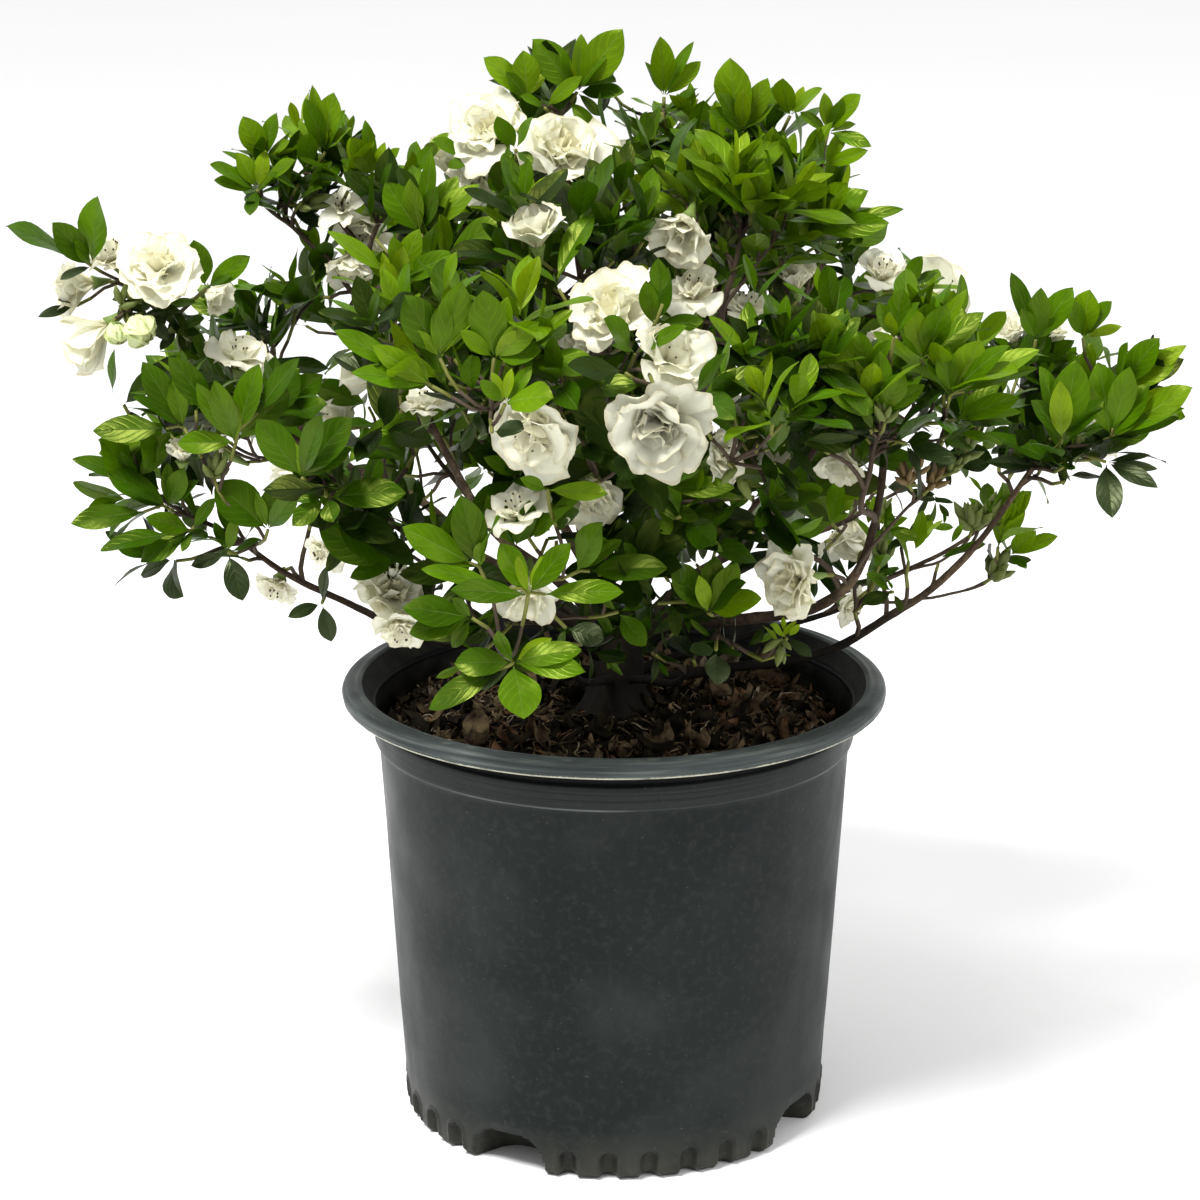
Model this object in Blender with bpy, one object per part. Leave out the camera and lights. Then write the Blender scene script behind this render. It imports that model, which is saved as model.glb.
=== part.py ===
"""A potted azalea shrub: nursery pot, root ball, short stem, main boughs and masses of foliage.

Metres, +Z up. The origin is the middle of the pot's flat underside, and -Y is the plant's front.
"""

import math

import bmesh
import bpy
from mathutils import Vector, bvhtree, geometry, noise

# Driving dimensions
GAP = 0.0003  # running gap between neighbouring solids

POT_HEIGHT = 0.2326
POT_RIM_RADIUS = 0.140
POT_BASE_RADIUS = 0.109
POT_WALL = 0.002
POT_SIDES = 44
RIM_DROP = 0.0086  # height of the rolled rim
RIM_LIP = 0.0025  # rounding of the rim's edges
RIM_INSIDE_RADIUS = 0.129
COLLAR_TOP_RADIUS = 0.1245
COLLAR_FOOT = 0.2015  # height of the step where the collar meets the wall
DRAIN_ANGLES = [-30 + 90 * turn for turn in range(4)]  # degrees from the front, towards +X
DRAIN_WIDTH = 0.042
DRAIN_HEIGHT = 0.0195
DRAIN_DEPTH = 0.024  # from the wall in towards the middle

SOIL_EDGE = 0.207  # height of the root ball's top at the pot wall
SOIL_SEAT = 0.216  # height of the flat patch that the stem rises from
SOIL_SEAT_RADIUS = 0.030

STEM_TOP = 0.266
STEM_FLARE_RADIUS = 0.022
STEM_RADIUS = 0.0145
STEM_LEAN = Vector((0.004, 0.003, 0.0))
STEM_SIDES = 12

BOUGH_OFFSET = 0.0072  # from the stem's axis to where a bough's own axis begins
BOUGH_SIDES = 6
BOUGH_RINGS = 7
BOUGH_TAPER = 0.42  # tip radius over foot radius, at the mass

MASS_SEGMENTS = 11
MASS_RINGS = 7
MASS_UNEVENNESS = 0.20

# Each mass of foliage: name, centre and half-sizes
MASSES = [
    ("foliage_far_left", (-0.240, -0.020, 0.441), (0.059, 0.040, 0.043)),
    ("foliage_upper_left", (-0.158, 0.030, 0.492), (0.051, 0.044, 0.042)),
    ("foliage_left_shoulder", (-0.086, -0.035, 0.476), (0.045, 0.050, 0.044)),
    ("foliage_top_left", (-0.027, 0.000, 0.520), (0.045, 0.046, 0.041)),
    ("foliage_top_middle", (0.029, 0.050, 0.515), (0.034, 0.040, 0.040)),
    ("foliage_top_right", (0.075, -0.010, 0.505), (0.052, 0.052, 0.050)),
    ("foliage_right_shoulder", (0.126, 0.050, 0.458), (0.036, 0.044, 0.034)),
    ("foliage_right_front", (0.133, -0.090, 0.424), (0.066, 0.055, 0.046)),
    ("foliage_far_right", (0.242, 0.000, 0.383), (0.050, 0.052, 0.055)),
    ("foliage_right_buds", (0.197, 0.050, 0.300), (0.035, 0.040, 0.028)),
    ("foliage_left_middle", (-0.193, -0.060, 0.388), (0.057, 0.050, 0.040)),
    ("foliage_left_low", (-0.214, -0.050, 0.333), (0.056, 0.052, 0.034)),
    ("foliage_left_inner", (-0.162, 0.036, 0.410), (0.038, 0.038, 0.034)),
    ("foliage_left_front", (-0.133, -0.130, 0.375), (0.046, 0.050, 0.044)),
    ("foliage_centre_left", (-0.080, -0.160, 0.437), (0.058, 0.050, 0.042)),
    ("foliage_centre_top", (-0.016, -0.095, 0.466), (0.050, 0.048, 0.044)),
    ("foliage_centre", (0.009, -0.180, 0.430), (0.054, 0.046, 0.048)),
    ("foliage_centre_right", (0.072, -0.150, 0.420), (0.044, 0.048, 0.048)),
    ("foliage_front_low", (-0.040, -0.140, 0.319), (0.064, 0.052, 0.048)),
    ("foliage_centre_low", (-0.025, -0.145, 0.370), (0.045, 0.044, 0.032)),
    ("foliage_right_centre_low", (0.040, -0.115, 0.355), (0.044, 0.044, 0.036)),
    ("foliage_front_right_low", (0.056, -0.095, 0.298), (0.028, 0.030, 0.032)),
    ("foliage_right_low", (0.120, -0.008, 0.322), (0.052, 0.040, 0.044)),
    ("foliage_inner", (-0.042, 0.054, 0.398), (0.038, 0.038, 0.036)),
    ("foliage_back_top", (-0.045, 0.095, 0.452), (0.062, 0.056, 0.048)),
    ("foliage_back_crest", (0.060, 0.115, 0.440), (0.060, 0.054, 0.050)),
    ("foliage_back_right", (0.140, 0.130, 0.378), (0.060, 0.056, 0.046)),
    ("foliage_back_left", (-0.122, 0.115, 0.402), (0.058, 0.056, 0.048)),
    ("foliage_back_far_right", (0.215, 0.105, 0.345), (0.050, 0.050, 0.040)),
    ("foliage_back_far_left", (-0.200, 0.085, 0.360), (0.052, 0.050, 0.042)),
    ("foliage_back_middle", (0.000, 0.190, 0.375), (0.068, 0.056, 0.052)),
    ("foliage_back_low_right", (0.105, 0.190, 0.310), (0.060, 0.054, 0.046)),
    ("foliage_back_low_left", (-0.110, 0.180, 0.322), (0.060, 0.052, 0.044)),
    ("foliage_back_low", (0.000, 0.210, 0.298), (0.058, 0.046, 0.042)),
]

# Each bough: name, where it leaves the stem (height, degrees from +X towards +Y, degrees above level),
# foot radius, the elbow that it passes through, and the mass that it runs to
BOUGHS = [
    ("bough_far_right", (0.230, 0, 8), 0.0037, (0.150, 0.000, 0.269), "foliage_far_right"),
    ("bough_right_buds", (0.232, 35, 15), 0.0028, (0.110, 0.040, 0.256), "foliage_right_buds"),
    ("bough_back_low_right", (0.232, 72, 20), 0.0034, (0.050, 0.095, 0.262), "foliage_back_low_right"),
    ("bough_back_low_left", (0.232, 118, 20), 0.0034, (-0.050, 0.090, 0.268), "foliage_back_low_left"),
    ("bough_left_low", (0.234, 188, 14), 0.0035, (-0.118, -0.018, 0.268), "foliage_left_low"),
    ("bough_front_low", (0.232, 255, 20), 0.0031, (-0.022, -0.070, 0.256), "foliage_front_low"),
    ("bough_front_right_low", (0.232, 305, 20), 0.0029, (0.036, -0.058, 0.252), "foliage_front_right_low"),
    ("bough_right_front", (0.252, 335, 32), 0.0044, (0.114, -0.080, 0.306), "foliage_right_front"),
    ("bough_back_right", (0.252, 38, 42), 0.0040, (0.080, 0.060, 0.300), "foliage_back_right"),
    ("bough_back_crest", (0.254, 70, 52), 0.0039, (0.032, 0.055, 0.350), "foliage_back_crest"),
    ("bough_back_middle", (0.246, 105, 38), 0.0036, (-0.004, 0.075, 0.305), "foliage_back_middle"),
    ("bough_back_left", (0.252, 135, 42), 0.0040, (-0.075, 0.055, 0.310), "foliage_back_left"),
    ("bough_far_left", (0.252, 176, 42), 0.0038, (-0.115, 0.012, 0.325), "foliage_far_left"),
    ("bough_left_middle", (0.242, 202, 34), 0.0037, (-0.098, -0.030, 0.334), "foliage_left_middle"),
    ("bough_left_front", (0.250, 218, 42), 0.0036, (-0.075, -0.055, 0.305), "foliage_left_front"),
    ("bough_centre", (0.254, 262, 60), 0.0038, (-0.012, -0.048, 0.350), "foliage_centre_top"),
    ("bough_right_low", (0.252, 5, 38), 0.0034, (0.065, -0.004, 0.290), "foliage_right_low"),
    ("bough_top_right", (0.266, 355, 72), 0.0040, (0.040, -0.004, 0.370), "foliage_top_right"),
    ("bough_top_left", (0.266, 135, 76), 0.0038, (-0.014, 0.020, 0.400), "foliage_top_left"),
    ("bough_upper_left", (0.266, 205, 68), 0.0038, (-0.065, 0.012, 0.370), "foliage_upper_left"),
]


def clear_scene():
    for obj in list(bpy.data.objects):
        bpy.data.objects.remove(obj, do_unlink=True)


def make_material(name, colour, roughness):
    material = bpy.data.materials.new(name)
    material.use_nodes = True
    shader = material.node_tree.nodes["Principled BSDF"]
    shader.inputs["Base Color"].default_value = (*colour, 1.0)
    shader.inputs["Roughness"].default_value = roughness
    shader.inputs["Metallic"].default_value = 0.0
    return material


def add_object(name, bm, material, smooth=True):
    """Turns a finished bmesh into a named object with its faces pointing out."""
    bmesh.ops.recalc_face_normals(bm, faces=bm.faces)
    if bm.calc_volume(signed=True) < 0:
        bmesh.ops.reverse_faces(bm, faces=bm.faces)
    mesh = bpy.data.meshes.new(name)
    bm.to_mesh(mesh)
    bm.free()
    if smooth:
        mesh.shade_smooth()
    mesh.materials.append(material)
    obj = bpy.data.objects.new(name, mesh)
    bpy.context.scene.collection.objects.link(obj)
    return obj


def turned(profile, sides):
    """Closed solid of revolution. The profile's first and last points lie on the axis."""
    bm = bmesh.new()
    foot = bm.verts.new((0.0, 0.0, profile[0][1]))
    head = bm.verts.new((0.0, 0.0, profile[-1][1]))
    rings = []
    for radius, height in profile[1:-1]:
        turns = [math.tau * side / sides for side in range(sides)]
        rings.append([bm.verts.new((radius * math.cos(a), radius * math.sin(a), height)) for a in turns])
    for side in range(sides):
        after = (side + 1) % sides
        bm.faces.new((foot, rings[0][after], rings[0][side]))
        bm.faces.new((head, rings[-1][side], rings[-1][after]))
        for low, high in zip(rings, rings[1:]):
            bm.faces.new((low[side], low[after], high[after], high[side]))
    return bm


def wall_radius(height):
    """Outside radius of the pot's plain tapered wall."""
    top_radius = 0.1215
    return POT_BASE_RADIUS + (top_radius - POT_BASE_RADIUS) * height / COLLAR_FOOT


def outer_profile():
    """Section of the pot's outside as a filled solid: underside, wall, collar and rolled rim."""
    foot_bevel = 0.004
    rim_foot = POT_HEIGHT - RIM_DROP
    collar = 0.0018  # how far the collar stands out from the wall
    return [
        (0.0, 0.0),
        (POT_BASE_RADIUS - foot_bevel, 0.0),
        (wall_radius(foot_bevel), foot_bevel),
        (wall_radius(COLLAR_FOOT), COLLAR_FOOT),
        (wall_radius(COLLAR_FOOT) + collar, COLLAR_FOOT + 0.003),
        (COLLAR_TOP_RADIUS, rim_foot),
        (POT_RIM_RADIUS - RIM_LIP, rim_foot),
        (POT_RIM_RADIUS, rim_foot + RIM_LIP),
        (POT_RIM_RADIUS, POT_HEIGHT - RIM_LIP),
        (POT_RIM_RADIUS - RIM_LIP, POT_HEIGHT),
        (0.0, POT_HEIGHT),
    ]


def hollow_profile():
    """Section of the pot's inside, carried on above the rim so that it cuts the mouth open."""
    overrun = 0.005
    mouth = RIM_INSIDE_RADIUS + RIM_LIP
    return [
        (0.0, POT_WALL),
        (POT_BASE_RADIUS - POT_WALL, POT_WALL),
        (wall_radius(COLLAR_FOOT) - POT_WALL, COLLAR_FOOT),
        (COLLAR_TOP_RADIUS - POT_WALL, POT_HEIGHT - RIM_DROP),
        (RIM_INSIDE_RADIUS, POT_HEIGHT - RIM_LIP),
        (mouth, POT_HEIGHT),
        (mouth + overrun, POT_HEIGHT + overrun),
        (0.0, POT_HEIGHT + overrun),
    ]


def drain_recess(angle_deg, grown_by):
    """Boxy rounded lump centred on the wall's foot. It dents one drain recess into the pot."""
    boxiness = 0.7  # below 1 the lump bulges towards its corners
    angle = math.radians(angle_deg)
    outward = Vector((math.sin(angle), -math.cos(angle), 0.0))
    across = Vector((math.cos(angle), math.sin(angle), 0.0))
    half_sizes = [size + grown_by for size in (DRAIN_WIDTH / 2, DRAIN_DEPTH, DRAIN_HEIGHT)]
    bm = bmesh.new()
    bmesh.ops.create_uvsphere(bm, u_segments=12, v_segments=6, radius=1.0)
    for vert in bm.verts:
        u, v, w = (math.copysign(abs(part) ** boxiness, part) for part in vert.co)
        side, out, up = (part * half for part, half in zip((u, v, w), half_sizes))
        vert.co = across * side + outward * (POT_BASE_RADIUS + out) + Vector((0.0, 0.0, up))
    return bm


def cut_with(obj, name, cutter):
    """Takes a hidden cutter's shape out of an object."""
    cutter.hide_render = True
    cutter.display_type = "WIRE"
    cut = obj.modifiers.new(name, "BOOLEAN")
    cut.object = cutter
    cut.operation = "DIFFERENCE"
    cut.solver = "EXACT"


def cut_drains(obj, label, grown_by, material):
    for number, angle in enumerate(DRAIN_ANGLES):
        bm = drain_recess(angle, grown_by)
        cutter = add_object(f"{label}_recess_{number}", bm, material, smooth=False)
        cut_with(obj, f"recess_{number}", cutter)


def make_pot(material):
    """The pot: its outside, less four drain recesses, less a hollow that keeps clear of them."""
    pot = add_object("pot", turned(outer_profile(), POT_SIDES), material)
    hollow = add_object("pot_hollow", turned(hollow_profile(), POT_SIDES), material)
    cut_drains(hollow, "hollow", POT_WALL, material)
    cut_drains(pot, "pot", 0.0, material)
    cut_with(pot, "hollow", hollow)


def make_root_ball(material):
    """The soil: it fills the pot, with a lumpy top and a flat patch under the stem."""
    inside = POT_WALL + GAP
    shoulder = wall_radius(COLLAR_FOOT) - inside
    profile = [(0.0, inside), (POT_BASE_RADIUS - inside, inside), (shoulder, COLLAR_FOOT)]
    top_radii = [shoulder, 0.100, 0.076, 0.052, SOIL_SEAT_RADIUS]
    for radius in top_radii:
        rise = (shoulder - radius) / (shoulder - SOIL_SEAT_RADIUS)
        profile.append((radius, SOIL_EDGE + (SOIL_SEAT - SOIL_EDGE) * rise))
    profile.append((0.0, SOIL_SEAT))
    bm = turned(profile, POT_SIDES)
    lump = 0.0035
    for vert in bm.verts:
        radius = vert.co.xy.length
        if SOIL_SEAT_RADIUS + GAP < radius < shoulder - GAP and vert.co.z > COLLAR_FOOT:
            vert.co.z += lump * noise.noise(vert.co * 45.0)
    root_ball = add_object("root_ball", bm, material)
    cut_drains(root_ball, "root_ball", inside, material)


def make_stem(material):
    """The short woody stem, flared where it leaves the soil and rounded where it forks."""
    foot = SOIL_SEAT + GAP
    height = STEM_TOP - foot
    flare = STEM_FLARE_RADIUS - STEM_RADIUS
    profile = [(0.0, 0.0)]
    for share in (0.0, 0.12, 0.3, 0.6, 0.85):
        radius = STEM_RADIUS * (1.0 - 0.18 * share) + flare * (1.0 - share) ** 6
        profile.append((radius, share * height))
    profile.append((STEM_RADIUS * 0.55, 0.97 * height))
    profile.append((0.0, height))
    bm = turned(profile, STEM_SIDES)
    for vert in bm.verts:
        share = vert.co.z / height
        swell = 1.0 + 0.14 * share * noise.noise(vert.co * 90.0)
        vert.co.x *= swell
        vert.co.y *= swell
        vert.co += STEM_LEAN * share + Vector((0.0, 0.0, foot))
    return add_object("stem", bm, material)


def make_mass(seed, centre, half_sizes):
    """One uneven lump of foliage, as a bmesh."""
    bm = bmesh.new()
    bmesh.ops.create_uvsphere(bm, u_segments=MASS_SEGMENTS, v_segments=MASS_RINGS, radius=1.0)
    shift = Vector((3.1, 5.7, 7.9)) * (seed + 1)
    for vert in bm.verts:
        way = vert.co.normalized()
        lumps = noise.noise(way * 1.9 + shift) + 0.6 * noise.noise(way * 4.3 + shift)
        reach = 1.0 + MASS_UNEVENNESS * lumps
        vert.co = Vector(centre) + Vector([w * h * reach for w, h in zip(way, half_sizes)])
    return bm


def reach_along(half_sizes, way):
    """Half-width of an ellipsoid's shadow along a unit direction."""
    return math.sqrt(sum((half * part) ** 2 for half, part in zip(half_sizes, way)))


def cut_apart(bm, own, other):
    """Cuts a mass off at the plane that it shares with a neighbour, half a gap short of it."""
    (centre, sizes), (other_centre, other_sizes) = own, other
    between = Vector(other_centre) - Vector(centre)
    distance = between.length
    way = between / distance
    mine = reach_along(sizes, way)
    theirs = reach_along(other_sizes, way)
    slack = 1.0 + MASS_UNEVENNESS
    if distance > (mine + theirs) * slack:
        return
    along = (distance**2 + mine**2 - theirs**2) / (2 * distance)
    plane = Vector(centre) + way * (along - GAP / 2)
    everything = list(bm.verts) + list(bm.edges) + list(bm.faces)
    cut = bmesh.ops.bisect_plane(
        bm, geom=everything, dist=1e-6, plane_co=plane, plane_no=way, clear_outer=True
    )
    rim = [piece for piece in cut["geom_cut"] if isinstance(piece, bmesh.types.BMEdge)]
    if rim:
        bmesh.ops.holes_fill(bm, edges=rim, sides=0)


def weld_and_split(bm):
    """Leaves only triangles, with no needle-thin edges."""
    bmesh.ops.remove_doubles(bm, verts=bm.verts, dist=0.0005)
    bmesh.ops.dissolve_degenerate(bm, edges=bm.edges, dist=0.0001)
    bmesh.ops.triangulate(bm, faces=bm.faces)


def make_masses(material):
    """All the masses, each cut back from its neighbours. Returns {name: object}."""
    made = {}
    for seed, (name, centre, sizes) in enumerate(MASSES):
        bm = make_mass(seed, centre, sizes)
        for other_name, other_centre, other_sizes in MASSES:
            if other_name != name:
                cut_apart(bm, (centre, sizes), (other_centre, other_sizes))
        weld_and_split(bm)
        made[name] = add_object(name, bm, material, smooth=False)
    return made


def surface_of(obj):
    mesh = obj.data
    return bvhtree.BVHTree.FromPolygons(
        [vert.co for vert in mesh.vertices], [list(face.vertices) for face in mesh.polygons]
    )


def limb_curve(start, leaving, elbow, end, steps):
    """Points on the limb's centreline: it leaves the stem one way and bends through its elbow."""
    through = (end - start).normalized()
    low = (elbow - start).length / 3
    high = (end - elbow).length / 3
    arrive = end - (end - elbow).normalized() * high
    lower = geometry.interpolate_bezier(start, start + leaving * low, elbow - through * low, elbow, steps)
    upper = geometry.interpolate_bezier(elbow, elbow + through * high, arrive, end, steps)
    return lower + upper[1:]


def trimmed_limb(curve, radius_at, stem_surface, mass_surfaces):
    """The stretch of the centreline that is clear of the stem and ends where it meets a mass."""
    last = len(curve) - 1
    first = 0
    for step, point in enumerate(curve):
        if stem_surface.find_nearest(point, radius_at(step / last) + GAP)[0] is not None:
            first = step + 1
    end = first
    while end < last:
        need = radius_at((end + 1) / last) + GAP
        if any(surface.find_nearest(curve[end + 1], need)[0] is not None for surface in mass_surfaces):
            break
        end += 1
    return first, end


def limb_mesh(curve, first, end, radius_at):
    """Tapering tube along the centreline with rounded noses at both ends."""
    last = len(curve) - 1
    bm = bmesh.new()
    nose_steps = [(0.80, 0.60)]  # share of the radius, and of the way out to the nose
    rows = []
    tangent = (curve[first + 1] - curve[first]).normalized()
    for share, out in reversed(nose_steps):
        radius = radius_at(first / last)
        rows.append((curve[first] - tangent * radius * out * 0.98, radius * share, tangent))
    for ring in range(BOUGH_RINGS):
        at = round(first + (end - first) * ring / (BOUGH_RINGS - 1))
        low, high = max(at - 1, 0), min(at + 1, last)
        tangent = (curve[high] - curve[low]).normalized()
        rows.append((curve[at], radius_at(at / last), tangent))
    for share, out in nose_steps:
        radius = radius_at(end / last)
        rows.append((curve[end] + tangent * radius * out * 0.98, radius * share, tangent))
    side_way = rows[0][2].orthogonal().normalized()
    rings = []
    for centre, radius, tangent in rows:
        side_way = (side_way - tangent * side_way.dot(tangent)).normalized()
        other_way = tangent.cross(side_way)
        ring = []
        for side in range(BOUGH_SIDES):
            turn = math.tau * side / BOUGH_SIDES
            offset = side_way * math.cos(turn) + other_way * math.sin(turn)
            ring.append(bm.verts.new(centre + offset * radius))
        rings.append(ring)
    foot_radius, tip_radius = radius_at(first / last), radius_at(end / last)
    foot = bm.verts.new(curve[first] - rows[0][2] * foot_radius)
    tip = bm.verts.new(curve[end] + rows[-1][2] * tip_radius)
    for side in range(BOUGH_SIDES):
        after = (side + 1) % BOUGH_SIDES
        bm.faces.new((foot, rings[0][after], rings[0][side]))
        bm.faces.new((tip, rings[-1][side], rings[-1][after]))
        for low, high in zip(rings, rings[1:]):
            bm.faces.new((low[side], low[after], high[after], high[side]))
    return bm


def bough_start(height, azimuth, rise):
    """Where a bough leaves the stem, and which way."""
    turn, climb = math.radians(azimuth), math.radians(rise)
    outward = Vector((math.cos(turn), math.sin(turn), 0.0))
    share = (height - SOIL_SEAT) / (STEM_TOP - SOIL_SEAT)
    start = STEM_LEAN * min(share, 1.0) + outward * BOUGH_OFFSET
    start.z = height
    return start, outward * math.cos(climb) + Vector((0.0, 0.0, math.sin(climb)))


def make_boughs(material, stem, masses):
    steps = 200
    stem_surface = surface_of(stem)
    mass_surfaces = [surface_of(mass) for mass in masses.values()]
    centres = {name: Vector(centre) for name, centre, _ in MASSES}
    for name, leaves_at, foot_radius, elbow, target in BOUGHS:
        start, leaving = bough_start(*leaves_at)
        curve = limb_curve(start, leaving, Vector(elbow), centres[target], steps)

        def radius_at(way, foot_radius=foot_radius):
            return foot_radius * (1.0 - (1.0 - BOUGH_TAPER) * way)

        first, end = trimmed_limb(curve, radius_at, stem_surface, mass_surfaces)
        add_object(name, limb_mesh(curve, first, end, radius_at), material)


def main():
    clear_scene()
    plastic = make_material("pot_plastic", (0.030, 0.034, 0.035), 0.5)
    soil = make_material("soil", (0.030, 0.018, 0.010), 0.95)
    bark = make_material("bark", (0.090, 0.062, 0.045), 0.85)
    leaf = make_material("leaf", (0.070, 0.190, 0.018), 0.45)
    make_pot(plastic)
    make_root_ball(soil)
    stem = make_stem(bark)
    masses = make_masses(leaf)
    make_boughs(bark, stem, masses)


main()
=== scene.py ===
"""Looks of the potted azalea: pot, soil, bark, twigs, leaves, blossom, floor, light and camera.

Metres, +Z up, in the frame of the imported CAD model. Sprays that show from the front are placed by
where they are seen; everything else grows by a seeded rule inside the masses of the CAD crown.
"""

import math

import bpy
import numpy as np
from mathutils import Matrix, Vector, bvhtree, geometry, noise


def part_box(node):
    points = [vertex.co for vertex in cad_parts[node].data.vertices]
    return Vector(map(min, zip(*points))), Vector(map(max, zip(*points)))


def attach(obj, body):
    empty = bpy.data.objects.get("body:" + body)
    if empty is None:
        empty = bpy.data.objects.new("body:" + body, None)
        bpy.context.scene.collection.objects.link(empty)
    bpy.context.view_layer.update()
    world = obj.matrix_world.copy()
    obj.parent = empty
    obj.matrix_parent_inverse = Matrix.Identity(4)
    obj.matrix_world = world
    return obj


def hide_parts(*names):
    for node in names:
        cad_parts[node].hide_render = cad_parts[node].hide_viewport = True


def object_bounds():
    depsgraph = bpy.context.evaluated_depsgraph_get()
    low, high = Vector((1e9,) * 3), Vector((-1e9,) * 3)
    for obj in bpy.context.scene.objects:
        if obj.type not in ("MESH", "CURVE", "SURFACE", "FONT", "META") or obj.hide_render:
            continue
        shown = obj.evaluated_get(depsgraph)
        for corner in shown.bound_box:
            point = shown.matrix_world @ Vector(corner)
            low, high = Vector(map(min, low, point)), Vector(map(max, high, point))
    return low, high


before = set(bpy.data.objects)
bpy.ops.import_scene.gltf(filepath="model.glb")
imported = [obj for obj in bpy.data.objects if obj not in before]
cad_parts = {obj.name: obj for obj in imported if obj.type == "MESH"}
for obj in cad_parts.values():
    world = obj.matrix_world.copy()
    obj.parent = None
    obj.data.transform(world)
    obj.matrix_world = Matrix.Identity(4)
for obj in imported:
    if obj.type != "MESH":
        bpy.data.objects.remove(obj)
CAD_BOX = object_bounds()

SEED = 20620
PETAL_SEED = 54  # petals draw on their own, so that a change to the leaves keeps the flowers
rng = np.random.default_rng(SEED)
petal_rng = np.random.default_rng(PETAL_SEED)
GOLDEN = math.pi * (3.0 - math.sqrt(5.0))  # the turn from one leaf to the next round a twig
UP = np.array((0.0, 0.0, 1.0))
FRONT = np.array((0.0, -1.0, 0.0))

# ---------------------------------------------------------------- camera
EYE = np.array((0.0, -1.73036, 0.775845))
PITCH = math.radians(16.18312)
YAW = math.radians(0.24445)
LENS_MM = 105.47
SENSOR_MM = 36.0
FOCAL_PX = 3515.7  # for a frame 1200 pixels wide
HALF_FRAME = 600.0
SIGHT = np.array((-math.sin(YAW) * math.cos(PITCH), math.cos(YAW) * math.cos(PITCH), -math.sin(PITCH)))
RIGHTWARDS = np.array((math.cos(YAW), math.sin(YAW), 0.0))
UPWARDS = np.cross(RIGHTWARDS, SIGHT)


def seen_at(px, py, depth):
    """The point on the upright plane y = depth that is seen at a pixel of the 1200-pixel frame."""
    ray = SIGHT + RIGHTWARDS * (px - HALF_FRAME) / FOCAL_PX - UPWARDS * (py - HALF_FRAME) / FOCAL_PX
    return EYE + ray * (depth - EYE[1]) / ray[1]


def pixel_of(point):
    """Where a point is seen, in pixels of the 1200-pixel frame."""
    way = point - EYE
    ahead = way @ SIGHT
    across_px, up_px = FOCAL_PX * (way @ RIGHTWARDS) / ahead, FOCAL_PX * (way @ UPWARDS) / ahead
    return HALF_FRAME + across_px, HALF_FRAME - up_px


# ---------------------------------------------------------------- directions and curves
def unit(vector):
    return vector / max(np.linalg.norm(vector), 1e-9)


def across(axis):
    """Two unit directions square to an axis and to each other."""
    side = unit(np.cross(axis, UP if abs(axis[2]) < 0.9 else FRONT))
    return side, np.cross(side, axis)


def swung(first, second, angle):
    """The direction at an angle from one unit vector towards another that is square to it."""
    return math.cos(angle) * first + math.sin(angle) * second


def bezier(knots, steps):
    return geometry.interpolate_bezier(*(Vector(knot) for knot in knots), steps)


def smooth_path(start, leaving, end, arriving, steps):
    """A curve that leaves one way and arrives another."""
    reach = np.linalg.norm(end - start) * 0.4
    after, before = start + unit(leaving) * reach, end - unit(arriving) * reach
    return np.array(bezier((start, after, before, end), steps))


def drift(path, grain, apart, aside=0.0):
    """How far each point of a path strays to its three sides, by a smooth noise of a given grain."""
    starts = [Vector((k * apart, aside, 0.0)) for k in range(3)]
    return np.array([[noise.noise(Vector(point * grain) + start) for start in starts] for point in path])


# ---------------------------------------------------------------- joined meshes
class Patchwork:
    """One joined mesh, grown patch by patch out of grids of points."""

    def __init__(self):
        self.points, self.faces, self.slots, self.uvs = [], [], [], []
        self.count = 0

    def grid(self, points, slot=0, uv=None, closed=False, flip=False):
        rows, columns = points.shape[:2]
        index = np.arange(rows * columns).reshape(rows, columns) + self.count
        if closed:
            index = np.concatenate([index, index[:, :1]], axis=1)
        quads = np.stack([index[:-1, :-1], index[:-1, 1:], index[1:, 1:], index[1:, :-1]], axis=-1)
        quads = quads.reshape(-1, 4)
        if flip:
            quads = quads[:, ::-1]
        self.points.append(points.reshape(-1, 3))
        self.uvs.append(np.zeros((rows * columns, 2)) if uv is None else uv.reshape(-1, 2))
        self.faces.append(quads)
        self.slots.append(np.full(len(quads), slot))
        self.count += rows * columns

    def build(self, name, materials, slot_name):
        points = np.concatenate(self.points).astype(np.float32)
        faces = np.concatenate(self.faces).astype(np.int32)
        mesh = bpy.data.meshes.new(name)
        mesh.vertices.add(len(points))
        mesh.vertices.foreach_set("co", points.ravel())
        mesh.loops.add(faces.size)
        mesh.loops.foreach_set("vertex_index", faces.ravel())
        mesh.polygons.add(len(faces))
        mesh.polygons.foreach_set("loop_start", np.arange(0, faces.size, 4, dtype=np.int32))
        mesh.polygons.foreach_set("material_index", np.concatenate(self.slots).astype(np.int32))
        mesh.polygons.foreach_set("use_smooth", np.full(len(faces), True))
        layer = mesh.uv_layers.new(name="UVMap")
        uvs = np.concatenate(self.uvs).astype(np.float32)
        layer.data.foreach_set("uv", uvs[faces.ravel()].ravel())
        for material in materials:
            mesh.materials.append(material)
        mesh.update(calc_edges=True)
        mesh.validate()
        obj = bpy.data.objects.new(name, mesh)
        bpy.context.scene.collection.objects.link(obj)
        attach(obj, "root")
        return obj


BARK_GRAIN = 210.0


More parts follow.
